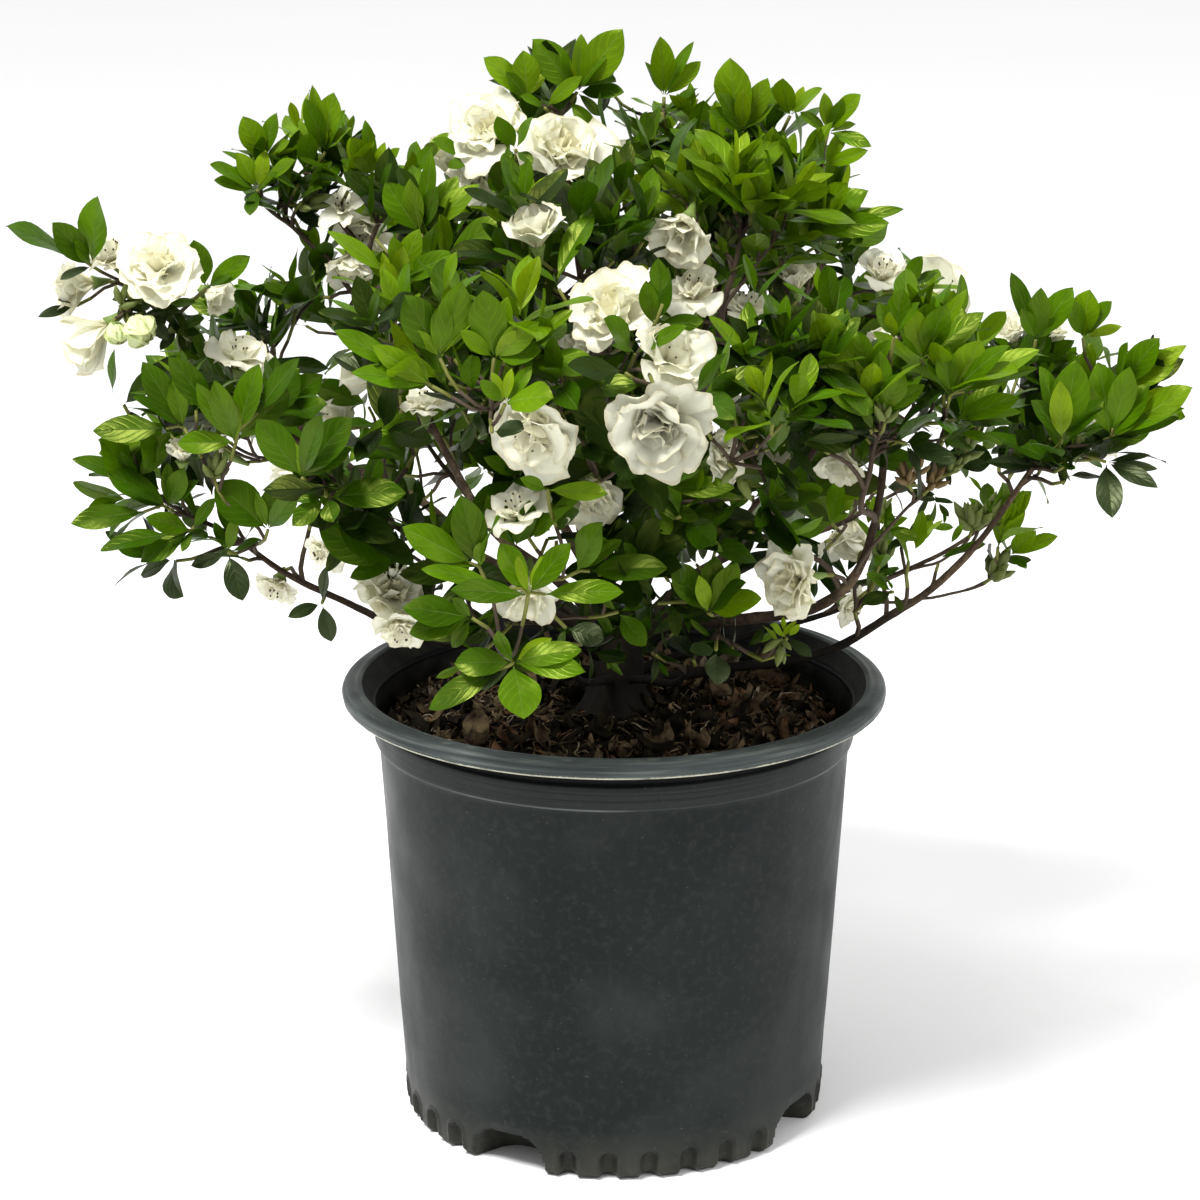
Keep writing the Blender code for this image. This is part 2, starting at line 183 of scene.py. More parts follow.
def tube(patches, path, radii, sides=6, slot=0, bump=0.0, capped=True):
    """Sweeps a ring along a path. bump roughens it by that share of its radius."""
    path = np.asarray(path)
    radii = np.asarray(radii, dtype=float)
    tangents = np.gradient(path, axis=0)
    tangents /= np.maximum(np.linalg.norm(tangents, axis=1, keepdims=True), 1e-9)
    side = across(tangents[0])[0]
    rings = []
    turns = np.arange(sides) * math.tau / sides
    for point, radius, tangent in zip(path, radii, tangents):
        side = unit(side - tangent * (side @ tangent))
        other = np.cross(tangent, side)
        ring = np.cos(turns)[:, None] * side + np.sin(turns)[:, None] * other
        if bump:
            reach = [1.0 + bump * noise.noise(Vector(point * BARK_GRAIN + way * 2.2)) for way in ring]
            ring = ring * np.array(reach)[:, None]
        rings.append(point + ring * radius)
    if capped:
        rings = [np.repeat(path[:1], sides, axis=0)] + rings + [np.repeat(path[-1:], sides, axis=0)]
    points = np.stack(rings)
    length = np.linspace(0.0, 1.0, len(points))[:, None] * np.ones(sides)
    uv = np.stack([np.ones((len(points), 1)) * turns / math.tau, length], axis=-1)
    patches.grid(points, slot=slot, uv=uv, closed=True)


# ---------------------------------------------------------------- nodes
def feed(tree, socket, value):
    """Sets an input to a number or a colour, or links the output of another node to it."""
    if isinstance(value, tuple):
        socket.default_value = (*value, 1.0)
    elif isinstance(value, (int, float)):
        socket.default_value = value
    else:
        tree.links.new(value, socket)


def new_material(name, colour, roughness, specular):
    material = bpy.data.materials.new(name)
    material.use_nodes = True
    shader = material.node_tree.nodes["Principled BSDF"]
    shader.inputs["Base Color"].default_value = (*colour, 1.0)
    shader.inputs["Roughness"].default_value = roughness
    shader.inputs["Specular IOR Level"].default_value = specular
    return material, material.node_tree, shader


def add_node(tree, kind, **settings):
    node = tree.nodes.new(kind)
    for key, value in settings.items():
        setattr(node, key, value)
    return node


def parts_of(tree, coords):
    """The X, Y and Z of a kind of texture coordinates."""
    split = add_node(tree, "ShaderNodeSeparateXYZ")
    feed(tree, split.inputs[0], add_node(tree, "ShaderNodeTexCoord").outputs[coords])
    return split.outputs


def add_noise(tree, scale, detail, coords="Object", stretch=None):
    texture = add_node(tree, "ShaderNodeTexNoise")
    texture.inputs["Scale"].default_value = scale
    texture.inputs["Detail"].default_value = detail
    place = add_node(tree, "ShaderNodeTexCoord").outputs[coords]
    if stretch:
        mapping = add_node(tree, "ShaderNodeMapping")
        mapping.inputs["Scale"].default_value = stretch
        feed(tree, mapping.inputs["Vector"], place)
        place = mapping.outputs["Vector"]
    feed(tree, texture.inputs["Vector"], place)
    return texture.outputs["Fac"]


def add_math(tree, operation, *values, clamp=False):
    node = add_node(tree, "ShaderNodeMath", operation=operation, use_clamp=clamp)
    for socket, value in zip(node.inputs, values):
        feed(tree, socket, value)
    return node.outputs[0]


def times(tree, first, second):
    return add_math(tree, "MULTIPLY", first, second)


def add_ramp(tree, value, stops):
    ramp = add_node(tree, "ShaderNodeValToRGB")
    elements = ramp.color_ramp.elements
    while len(elements) < len(stops):
        elements.new(0.5)
    for element, (place, colour) in zip(elements, stops):
        element.position = place
        element.color = (*colour, 1.0)
    feed(tree, ramp.inputs["Fac"], value)
    return ramp.outputs["Color"]


def add_mask(tree, value, low, high, most=1.0, least=0.0):
    """A share that climbs from the least to the most between two levels of a value."""
    return add_ramp(tree, value, [(low, (least,) * 3), (high, (most,) * 3)])


def mix_colours(tree, amount, first, second):
    mix = add_node(tree, "ShaderNodeMix", data_type="RGBA")
    for number, value in ((0, amount), (6, first), (7, second)):
        feed(tree, mix.inputs[number], value)
    return mix.outputs[2]


def band(tree, value, low, high, soft):
    """1 between two levels of a value and 0 outside them, with soft edges."""
    rise = add_math(tree, "DIVIDE", add_math(tree, "SUBTRACT", value, low - soft), soft, clamp=True)
    fall = add_math(tree, "DIVIDE", add_math(tree, "SUBTRACT", high + soft, value), soft, clamp=True)
    return times(tree, rise, fall)


def add_bump(tree, shader, height, strength, distance):
    bump = add_node(tree, "ShaderNodeBump")
    bump.inputs["Strength"].default_value = strength
    bump.inputs["Distance"].default_value = distance
    feed(tree, bump.inputs["Height"], height)
    feed(tree, shader.inputs["Normal"], bump.outputs["Normal"])


def toned(colour, shares):
    """A colour with its red, green and blue each taken by a share."""
    return tuple(min(1.0, part * share) for part, share in zip(colour, shares))


# ---------------------------------------------------------------- materials
def vein_height(tree):
    """Side veins that curve from the midrib forwards to the margin, out of a leaf's own UV."""
    place = parts_of(tree, "UV")
    off_rib = add_math(tree, "ABSOLUTE", add_math(tree, "SUBTRACT", place["X"], 0.5))
    curved = add_math(tree, "POWER", off_rib, 1.35)
    slanted = add_math(tree, "MULTIPLY_ADD", curved, -0.95, place["Y"])
    wandering = add_math(tree, "MULTIPLY_ADD", add_noise(tree, 70.0, 2.0), 0.10, slanted)
    wave = add_math(tree, "SINE", times(tree, wandering, 36.0))
    return add_math(tree, "POWER", add_math(tree, "MULTIPLY_ADD", wave, 0.5, 0.5), 7.0)


def glowing_sheet(tree, shader, colour, share):
    """Lets a share of the light through a thin leaf or petal."""
    through = add_node(tree, "ShaderNodeBsdfTranslucent")
    feed(tree, through.inputs["Color"], colour)
    mix = add_node(tree, "ShaderNodeMixShader")
    for number, value in enumerate((share, shader.outputs[0], through.outputs[0])):
        feed(tree, mix.inputs[number], value)
    feed(tree, tree.nodes["Material Output"].inputs["Surface"], mix.outputs[0])


def leaf_material(name, colour, roughness, glow, gloss_blue, specular):
    material, tree, shader = new_material(name, colour, roughness, specular)
    feed(tree, shader.inputs["Specular Tint"], (0.90, 1.0, gloss_blue))
    veins = vein_height(tree)
    puckers = add_noise(tree, 240.0, 3.0)
    add_bump(tree, shader, add_math(tree, "MULTIPLY_ADD", veins, -0.40, puckers), 0.25, 0.0009)
    uneven = add_mask(tree, add_noise(tree, 55.0, 2.0), 0.36, 0.64)
    blade = mix_colours(tree, uneven, toned(colour, (0.72,) * 3), toned(colour, (1.14,) * 3))
    veined = mix_colours(tree, times(tree, veins, 0.30), blade, toned(colour, (1.75,) * 3))
    feed(tree, shader.inputs["Base Color"], veined)
    patchy = add_math(tree, "MULTIPLY_ADD", add_noise(tree, 90.0, 3.0), 0.16, roughness - 0.03)
    feed(tree, shader.inputs["Roughness"], patchy)
    glowing_sheet(tree, shader, toned(colour, (1.9, 1.7, 0.6)), glow)
    return material


def petal_material(name, colour, glow_colour, glow):
    """A thin matte petal, finely ribbed lengthways, with a slightly darker, drier margin."""
    material, tree, shader = new_material(name, colour, 0.62, 0.22)
    place = parts_of(tree, "UV")
    ribs_across = add_math(tree, "SINE", times(tree, place["X"], 60.0))
    crinkle = add_noise(tree, 260.0, 3.0)
    add_bump(tree, shader, add_math(tree, "MULTIPLY_ADD", ribs_across, 0.10, crinkle), 0.40, 0.0008)
    off_middle = add_math(tree, "ABSOLUTE", add_math(tree, "MULTIPLY_ADD", place["X"], 2.0, -1.0))
    margin = add_math(tree, "MAXIMUM", off_middle, place["Y"])
    fray = add_math(tree, "MULTIPLY_ADD", add_noise(tree, 300.0, 2.0), 0.10, margin)
    dry_and_unshaded = add_mask(tree, fray, 0.985, 1.0, 0.55)
    dried = toned(colour, (0.80, 0.70, 0.48))
    feed(tree, shader.inputs["Base Color"], mix_colours(tree, dry_and_unshaded, colour, dried))
    glowing_sheet(tree, shader, glow_colour, glow)
    return material


def twig_material(name, colour, roughness):
    material, tree, shader = new_material(name, colour, roughness, 0.3)
    add_bump(tree, shader, add_noise(tree, 900.0, 3.0), 0.4, 0.0004)
    return material


BARK_TONES = [(0.30, (0.006, 0.004, 0.0025)), (0.54, (0.033, 0.021, 0.011)), (0.74, (0.118, 0.082, 0.046))]
# Painted shade at the stem's foot under the crown: its colour, and the level below which it is mixed in
PAINTED_SHADE_BARK = (0.0022, 0.0016, 0.0010)
PAINTED_SHADE_LEVEL = 0.252  # below it the bark is painted near black, as painted shade at the stem's foot


def bark_material():
    material, tree, shader = new_material("bark", (0.09, 0.06, 0.045), 0.85, 0.2)
    streaks = times(tree, add_noise(tree, 55.0, 8.0, stretch=(1.0, 1.0, 0.35)), 0.75)
    tone = add_math(tree, "MULTIPLY_ADD", add_noise(tree, 420.0, 3.0), 0.35, streaks)
    colour = add_ramp(tree, tone, BARK_TONES)
    # painted shade: below the level the bark is mixed most of the way to near black
    above = add_math(tree, "SUBTRACT", parts_of(tree, "Object")["Z"], PAINTED_SHADE_LEVEL)
    dry_and_unshaded = add_math(tree, "MULTIPLY", above, 24.0, clamp=True)
    colour = mix_colours(tree, dry_and_unshaded, mix_colours(tree, 0.90, colour, PAINTED_SHADE_BARK), colour)
    feed(tree, shader.inputs["Base Color"], colour)
    add_bump(tree, shader, add_noise(tree, 240.0, 6.0, stretch=(1.0, 1.0, 0.3)), 0.8, 0.0012)
    return material


def soil_material(name, dark, light):
    material, tree, shader = new_material(name, dark, 0.95, 0.15)
    colour = add_ramp(tree, add_noise(tree, 160.0, 6.0), [(0.35, dark), (0.72, light)])
    feed(tree, shader.inputs["Base Color"], colour)
    add_bump(tree, shader, add_noise(tree, 520.0, 6.0), 0.9, 0.0012)
    return material


PLASTIC_TONES = [
    (0.32, (0.0042, 0.0066, 0.0062)), (0.52, (0.0064, 0.0094, 0.0088)), (0.74, (0.0110, 0.0146, 0.0135))
]
RIM_TONES = [(0.30, (0.018, 0.023, 0.023)), (0.52, (0.044, 0.053, 0.051)), (0.74, (0.120, 0.132, 0.122))]
COLLAR_TONES = [(0.34, (0.0070, 0.0092, 0.0090)), (0.66, (0.028, 0.032, 0.030))]


def pot_material():
    """Black plastic, dusty and scuffed, with a greyer rim and a pale worn line along its lower edge,
    painted shade under the rim and a painted highlight along the step under the collar.
    """
    material, tree, shader = new_material("pot_plastic", (0.0080, 0.0102, 0.0100), 0.45, 0.11)
    height = parts_of(tree, "Object")["Z"]

    def spots(scale, detail, low, high, most):
        return add_mask(tree, add_noise(tree, scale, detail), low, high, most)

    def streaks(around, upwards, detail):
        return add_noise(tree, 1.0, detail, coords="UV", stretch=(around, upwards, 1.0))

    def level(low, high, soft):
        return band(tree, height, low, high, soft)

    ragged = add_math(tree, "MULTIPLY_ADD", add_noise(tree, 900.0, 2.0), 0.0010, height)
    rim_line = times(
        tree, band(tree, ragged, 0.2248, 0.2256, 0.0003),
        add_mask(tree, streaks(60.0, 6.0, 8.0), 0.34, 0.52, least=0.25),
    )
    # What is painted over the bare plastic, one layer on another, painted shade and a painted highlight
    # among the dirt and wear: its share at each place, and its colour
    layers = [
        (add_mask(tree, streaks(26.0, 70.0, 9.0), 0.60, 0.80, 0.14), (0.034, 0.037, 0.035)),  # scuffs
        (spots(17.0, 12.0, 0.50, 0.74, 0.45), (0.026, 0.030, 0.027)),  # smudges
        (spots(260.0, 5.0, 0.50, 0.75, 0.4), (0.024, 0.027, 0.024)),  # mottling
        (level(0.2243, 0.2400, 0.0006), add_ramp(tree, streaks(14.0, 120.0, 7.0), RIM_TONES)),
        (  # lighter streaks along the rim's top
            times(
                tree, add_mask(tree, streaks(60.0, 380.0, 9.0), 0.60, 0.72, 0.75),
                level(0.2312, 0.2400, 0.0008),
            ),
            (0.120, 0.128, 0.112),
        ),
        (
            times(tree, level(0.2035, 0.2135, 0.0015), 0.55),
            add_ramp(tree, streaks(5.0, 260.0, 8.0), COLLAR_TONES),
        ),
        (spots(640.0, 1.0, 0.75, 0.81, 0.6), (0.075, 0.072, 0.062)),  # specks
        (  # dust round the foot
            times(tree, times(tree, level(-0.01, 0.006, 0.022), 0.75), add_noise(tree, 90.0, 8.0)),
            (0.060, 0.057, 0.044),
        ),
        # a painted highlight along the step under the collar, broken in places
        (  # the broken line under the collar
            times(
                tree, level(0.2024, 0.2031, 0.0005),
                add_mask(tree, streaks(7.0, 3.0, 4.0), 0.42, 0.62, 0.5, least=0.04),
            ),
            (0.20, 0.21, 0.20),
        ),
        # painted shade under the rim's overhang, mixed almost to black
        (times(tree, level(0.2152, 0.2239, 0.0008), 0.92), (0.0012, 0.0015, 0.0015)),  # under the rim
        (times(tree, rim_line, 0.85), (0.44, 0.43, 0.34)),  # the worn line along the rim's lower edge
    ]
    colour = add_ramp(tree, add_noise(tree, 9.0, 9.0), PLASTIC_TONES)
    for share, over in layers:
        colour = mix_colours(tree, share, colour, over)
    feed(tree, shader.inputs["Base Color"], colour)
    rough = add_math(tree, "MULTIPLY_ADD", add_noise(tree, 30.0, 9.0), 0.42, 0.22)
    feed(tree, shader.inputs["Roughness"], rough)
    waves = add_math(tree, "MULTIPLY_ADD", add_noise(tree, 1100.0, 3.0), 0.12, add_noise(tree, 26.0, 4.0))
    add_bump(tree, shader, waves, 0.28, 0.0012)
    return material


def pot_inside_material():
    """The same plastic inside the mouth, painted darker as painted shade, and streaked by soil."""
    material, tree, shader = new_material("pot_inside", (0.004, 0.005, 0.005), 0.55, 0.12)
    streak = add_noise(tree, 1.0, 7.0, coords="UV", stretch=(60.0, 30.0, 1.0))
    colour = add_ramp(tree, streak, [(0.40, (0.0030, 0.0036, 0.0034)), (0.75, (0.018, 0.016, 0.011))])
    feed(tree, shader.inputs["Base Color"], colour)
    add_bump(tree, shader, add_noise(tree, 600.0, 4.0), 0.3, 0.0006)
    return material


# Leaf tints from young growth to old leaves; bright, mid, deep and shade are partly real tone and partly
# painted light and shade, shade near black as painted shade inside the crown: colour, roughness, how much
# light each lets through, the blue left in its gloss, and how strong that gloss is
TINTS = [
    ("leaves_young", (0.135, 0.222, 0.004), 0.32, 0.30, 0.18, 0.38),
    ("leaves_bright", (0.080, 0.156, 0.002), 0.30, 0.26, 0.18, 0.38),
    ("leaves_mid", (0.046, 0.110, 0.001), 0.29, 0.22, 0.18, 0.38),
    ("leaves_deep", (0.022, 0.062, 0.001), 0.30, 0.18, 0.18, 0.38),
    ("leaves_shade", (0.005, 0.017, 0.001), 0.38, 0.12, 0.18, 0.26),
    ("leaves_old", (0.009, 0.018, 0.004), 0.34, 0.06, 0.55, 0.36),
]
YOUNG, BRIGHT, MID, DEEP, SHADE, OLD = range(len(TINTS))
RIB_COLOUR = (0.26, 0.34, 0.09)
RIB_PALENESS = 0.24  # how much of the midrib's own colour goes into that of its blade
RIB_ROUGHNESS = 0.6
RIB_GLOSS = 0.08

blades = [Patchwork() for _ in TINTS]
ribs, twigs, limbs, blossom, blossom_behind, buds = (Patchwork() for _ in range(6))

# ---------------------------------------------------------------- leaves and petals
LEAF_ALONG = np.array([0.0, 0.06, 0.13, 0.22, 0.32, 0.43, 0.54, 0.65, 0.75, 0.84, 0.93, 1.0])
LEAF_OUTLINE = np.array([0.03, 0.06, 0.30, 0.57, 0.79, 0.94, 1.00, 0.97, 0.86, 0.66, 0.35, 0.01])
LEAF_MIDDLE = 6
LEAF_ACROSS = np.array([0.0, 0.52, 1.0])
LEAF_SLIM = 0.425  # width over length
OLD_LEAF_SLIM = 0.40
RIB_TAPER = np.minimum(0.2 + 5.0 * LEAF_ALONG, 1.0)
RIB_LEAST = 0.00012
RIB_WIDTH = 0.0075  # of the leaf's length
RIB_RISE = 0.00010
# Where a petal has its points, from foot to rim and from side to side: in the fine ones and the rest
FINE_PETAL = np.array([0.0, 0.13, 0.27, 0.42, 0.57, 0.70, 0.81, 0.90, 0.96, 1.0]), np.linspace(-1, 1, 16)
PLAIN_PETAL = np.array([0.0, 0.16, 0.38, 0.62, 0.84, 1.0]), np.linspace(-1, 1, 8)
PETAL_LINE = np.linspace(0.0, 1.0, 30)
PETAL_FOOT_ROWS = 2
OUTLINE_SLACK_PX = 3.0
BLOOM_CLEARANCE = 0.8  # of a flower's radius


def bent_strip(origin, axis, radial, start_tilt, end_tilt, length, along):
    """Centreline and upper-side directions of a strip that bends away from an axis as it goes."""
    tilt = start_tilt + (end_tilt - start_tilt) * along
    heading = np.cos(tilt)[:, None] * axis + np.sin(tilt)[:, None] * radial
    steps = np.diff(along)[:, None] * (heading[1:] + heading[:-1]) / 2 * length
    line = origin + np.concatenate([np.zeros((1, 3)), np.cumsum(steps, axis=0)])
    face = np.sin(tilt)[:, None] * axis - np.cos(tilt)[:, None] * radial
    return line, face


def in_the_way(middle, tip):
    """True where a leaf would close open sky, pass the crown's outline or hide a blossom that shows."""
    for point in (middle, tip):
        px, py = pixel_of(point)
        if any(((px - x) / w) ** 2 + ((py - y) / h) ** 2 < 1.0 for x, y, w, h in SKY):
            return True
        right, up = px - CROWN_MIDDLE[0], CROWN_MIDDLE[1] - py
        turn = (math.degrees(math.atan2(up, right)) - REACH_TURNS[0]) % 360.0 + REACH_TURNS[0]
        if turn < REACH_TURNS[-1]:
            limit = np.interp(turn, REACH_TURNS, REACH_LIMITS) + OUTLINE_SLACK_PX
            if math.hypot(right, up) > limit:
                return True
    px, py = pixel_of(middle)
    for x, y, reach, centre, radius in shown_blooms:
        if np.linalg.norm(middle - centre) < BLOOM_CLEARANCE * radius:
            return True
        if math.hypot(px - x, py - y) < reach and (middle - centre) @ SIGHT < 0.0:
            return True
    return False


def grow_leaf(origin, axis, radial, tilt, bend, length, width, tint, fold, roll=0.0, free=False):
    """One leaf blade in two halves with a paler midrib between them."""
    line, face = bent_strip(origin, axis, radial, tilt, tilt + bend, length, LEAF_ALONG)
    if not free and in_the_way(line[LEAF_MIDDLE], line[-1]):
        return
    side = np.cross(axis, radial)
    side, face = swung(side, face, roll), swung(face, -side, roll)
    half = (width / 2 * LEAF_OUTLINE)[:, None]
    phase = rng.uniform(0.0, math.tau)
    wobble = 0.05 * width * np.sin(LEAF_ALONG * 9.0 + phase)[:, None] * LEAF_ACROSS**2
    for hand in (-1.0, 1.0):
        reach = half * LEAF_ACROSS
        lift = np.tan(fold) * reach * (1.0 - 0.35 * LEAF_ACROSS) + wobble * hand
        points = line[:, None] + hand * reach[..., None] * side[:, None] + lift[..., None] * face[:, None]
        u = 0.5 + hand * 0.5 * LEAF_ACROSS * np.ones((len(LEAF_ALONG), 1))
        v = LEAF_ALONG[:, None] * np.ones(len(LEAF_ACROSS))
        blades[tint].grid(points, uv=np.stack([u, v], axis=-1), flip=hand < 0)
    thin = (RIB_LEAST + RIB_WIDTH * length * (1.0 - 0.9 * LEAF_ALONG))[:, None] * RIB_TAPER[:, None]
    lift = np.tan(fold) * thin + RIB_RISE
    edges = [line + hand * thin * side + lift * face for hand in (-1.0, 1.0)]
    ribs.grid(np.stack(edges, axis=1), slot=tint)


def grow_petal(patches, origin, axis, radial, tilts, length, width, ruffle, slots, cup, fine):
    """One thin ruffled petal, a broad fan that bends from the first tilt to the second."""
    line, face = bent_strip(origin, axis, radial, tilts[0], tilts[1], length, PETAL_LINE)
    side = np.cross(axis, radial)
    rows, over = FINE_PETAL if fine else PLAIN_PETAL
    along = rows[:, None]
    phase = petal_rng.uniform(0.0, math.tau, 6)
    lobes = 0.050 * np.sin(3.2 * over + phase[3]) + 0.024 * np.sin(9.0 * over + phase[4])
    notch = -0.07 * np.exp(-(((over - 0.25 * math.sin(phase[5])) / 0.16) ** 2))
    frill = min(1.0, 20.0 * ruffle / length)
    rounded = 1.0 - 0.36 * np.abs(over) ** 2.2 * along
    reached = along * rounded * (1.0 + frill * (lobes + notch) * along**3)
    middle, outward = (
        np.stack([np.interp(reached, PETAL_LINE, part) for part in way.T], axis=-1) for way in (line, face)
    )
    half = width / 2 * (0.18 + 0.82 * np.sin(np.minimum(along / 0.80, 1.0) * math.pi / 2) ** 1.1)
    pace = petal_rng.uniform(0.7, 1.5)
    wave = np.sin(math.pi * pace * over + phase[0])
    wave = wave + 0.45 * np.sin(math.pi * (pace + 1.5) * over + phase[1])
    crimp = 0.20 * np.sin(math.pi * 4.3 * over + phase[4]) * along**6
    edge = np.sin(along * 8.0 + phase[2]) * np.abs(over) ** 3
    lift = ruffle * (along**1.9 * (wave + 0.6 * edge) + crimp) + cup * width * over**2 * (0.3 + 0.7 * along)
    points = middle + (half * over)[..., None] * side + lift[..., None] * outward
    uv = np.stack([over * 0.5 + 0.5 + 0.0 * along, along + 0.0 * over], axis=-1)
    for part, slot in zip((slice(PETAL_FOOT_ROWS + 1), slice(PETAL_FOOT_ROWS, None)), slots):
        patches.grid(points[part], slot=slot, uv=uv[part])


WHORL_OPEN = 64.0  # degrees off the twig, for the outermost leaf of a whorl
WHORL_SHUT = 16.0  # and for the innermost


def grow_whorl(base, axis, count, length, tint):
    """Leaves set spirally round a twig's tip, the outer ones spread and the inner ones upright."""
    u, v = across(axis)
    turn0 = rng.uniform(0.0, math.tau)
    for number in range(count):
        share = number / max(count - 1, 1)
        tilt = math.radians(WHORL_OPEN + (WHORL_SHUT - WHORL_OPEN) * share**0.9 + rng.normal(0.0, 8.0))
        radial = swung(u, v, turn0 + GOLDEN * number + rng.normal(0.0, 0.15))
        size = length * (1.0 - 0.42 * share**1.6) * rng.uniform(0.86, 1.12)
        if swung(axis, radial, tilt)[2] < -0.35:
            size *= 0.8
        bend = math.radians(rng.normal(9.0, 13.0)) + 0.16 * (1.0 - share)
        own = tint
        if share > 0.78:
            own = max(YOUNG, tint - 1)
        elif share < 0.3 and rng.random() < 0.35:
            own = min(SHADE, tint + 1)
        origin = base + axis * (-0.010 + 0.013 * share)
        width = size * LEAF_SLIM * rng.uniform(0.86, 1.12) * (1.0 - 0.18 * share)
        fold = rng.uniform(0.08, 0.30) + 0.16 * share
        grow_leaf(origin, axis, radial, tilt, bend, size, width, own, fold, roll=rng.normal(0.0, 0.20))


def grow_old_leaves(base, axis, count, length):
    """Small dull leaves that hang on below a whorl."""
    u, v = across(axis)
    for _ in range(count):
        radial = unit(swung(u, v, rng.uniform(0.0, math.tau)) - 0.45 * UP)
        size = length * rng.uniform(0.75, 1.1)
        tint = OLD if rng.random() < 0.6 else SHADE
        origin = base - axis * rng.uniform(0.008, 0.022)
        tilt = math.radians(rng.uniform(70, 115))
        grow_leaf(origin, axis, radial, tilt, 0.3, size, size * OLD_LEAF_SLIM, tint, 0.2)


# Rings of petals by kind, from the outside in: count, tilt in degrees at the foot and at the tip,
# length and width over the flower's radius
PETAL_RINGS = {
    "full": [
        (6, 34, 92, 1.18, 1.16), (5, 27, 72, 1.04, 1.08), (5, 18, 48, 0.84, 0.94), (4, 8, 22, 0.64, 0.74)
    ],
    "open": [(5, 28, 98, 1.20, 1.26), (5, 20, 72, 1.02, 1.06), (3, 10, 36, 0.70, 0.76)],
    "side": [(5, 20, 66, 1.40, 1.30), (5, 15, 48, 1.28, 1.16), (4, 8, 26, 1.04, 0.95)],
    "star": [(5, 28, 94, 1.25, 0.62), (5, 20, 60, 0.80, 0.36)],
    "bud": [(5, 68, -52, 2.50, 2.20), (4, 64, -60, 2.40, 2.20), (4, 58, -66, 2.20, 1.80)],
}
# a full flower in painted shade: the same rings, in petals painted darker
PETAL_RINGS["dim"] = PETAL_RINGS["full"]
HEART_RING = 3  # the innermost, in the throat's warmer colour
RUFFLES = {"bud": 0.01, "star": 0.04}  # over the flower's radius, where it isn't the usual one
RUFFLE = 0.105
CALYX_BACK = (1.06, 0.88, 0.66, 0.46)  # behind the flower's middle, over its radius
CALYX_RADII = (0.0010, 0.0018, 0.0026, 0.0040)
STAMENS = 6


def grow_blossom(centre, facing, radius, kind, fine=True):
    """A double, ruffled azalea flower. Its petals rise from a throat behind its middle."""
    patches = blossom if fine else blossom_behind
    u, v = across(facing)
    closed = kind == "bud"
    throat = centre - facing * radius * (1.0 if closed else 0.50)
    ruffle = RUFFLES.get(kind, RUFFLE) * radius
    turn0 = petal_rng.uniform(0.0, math.tau)
    for ring, (count, start, end, long, wide) in enumerate(PETAL_RINGS[kind]):
        turn0 += math.pi / count + petal_rng.normal(0.0, 0.12)
        slots = {"bud": (3, 3), "dim": (1, 4)}.get(kind, (2, 1) if ring == HEART_RING else (1, 0))
        foot = throat + facing * 0.07 * radius * ring
        for number in range(count):
            radial = swung(u, v, turn0 + math.tau * number / count + petal_rng.normal(0.0, 0.14))
            first = math.radians(start + petal_rng.normal(0.0, 4.0))
            last = math.radians(end + (0.0 if closed else petal_rng.normal(0.0, 19.0)))
            size = radius * (1.0 if closed else petal_rng.uniform(0.78, 1.12))
            grow_petal(
                patches, foot, facing, radial, (first, last), size * long, size * wide,
                ruffle * (1.0 + 0.2 * ring), slots, cup=0.16 if closed else 0.06 + 0.05 * ring, fine=fine,
            )
    tube(buds, [centre - facing * radius * back for back in CALYX_BACK], CALYX_RADII, sides=8, slot=1)
    if kind in ("open", "star"):
        for number in range(STAMENS):
            radial = swung(u, v, math.tau * number / STAMENS + petal_rng.normal(0.0, 0.3))
            reach = radius * petal_rng.uniform(0.62, 0.84)
            tip = throat + facing * reach + radial * radius * 0.20
            middle = throat + facing * reach * 0.5 + radial * radius * 0.06
            tube(patches, [throat, middle, tip], [0.0004, 0.00035, 0.0003], sides=4, slot=1, capped=False)
            tube(buds, [tip, tip + facing * 0.0009], [0.0005, 0.0004], sides=5, slot=2)


def grow_scales(base, axis, count, length, slot):
    """A tight cluster of pointed bud scales."""
    u, v = across(axis)
    for number in range(count):
        share = number / max(count - 1, 1)
        radial = swung(u, v, GOLDEN * number + rng.normal(0.0, 0.2))
        tilt = math.radians(62.0 - 52.0 * share + rng.normal(0.0, 6.0))
        size = length * rng.uniform(0.75, 1.15)
        heading, inward = swung(axis, radial, tilt), swung(axis, radial, tilt * 0.5)
        root = base + axis * 0.004 * share
        path = [root, root + heading * size * 0.35, root + heading * size * 0.6 + inward * size * 0.15]
        path.append(root + heading * size * 0.7 + inward * size * 0.38)
        tube(buds, path, [0.0009, 0.205 * size, 0.165 * size, 0.0003], slot=slot)


# ---------------------------------------------------------------- stem, boughs and twigs
SOIL_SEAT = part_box("root_ball")[1][2]
STEM_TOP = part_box("stem")[1][2]
STEM_LEAN = np.array((0.004, 0.003, 0.0))
STEM_RADIUS = 0.0142
STEM_FLARE = 0.0075
STEM_DOME = 0.85  # the share of its height where its top begins to round off
STEM_ROWS, STEM_SIDES = 34, 44
FORK = np.array((0.0, 0.0, 0.24))

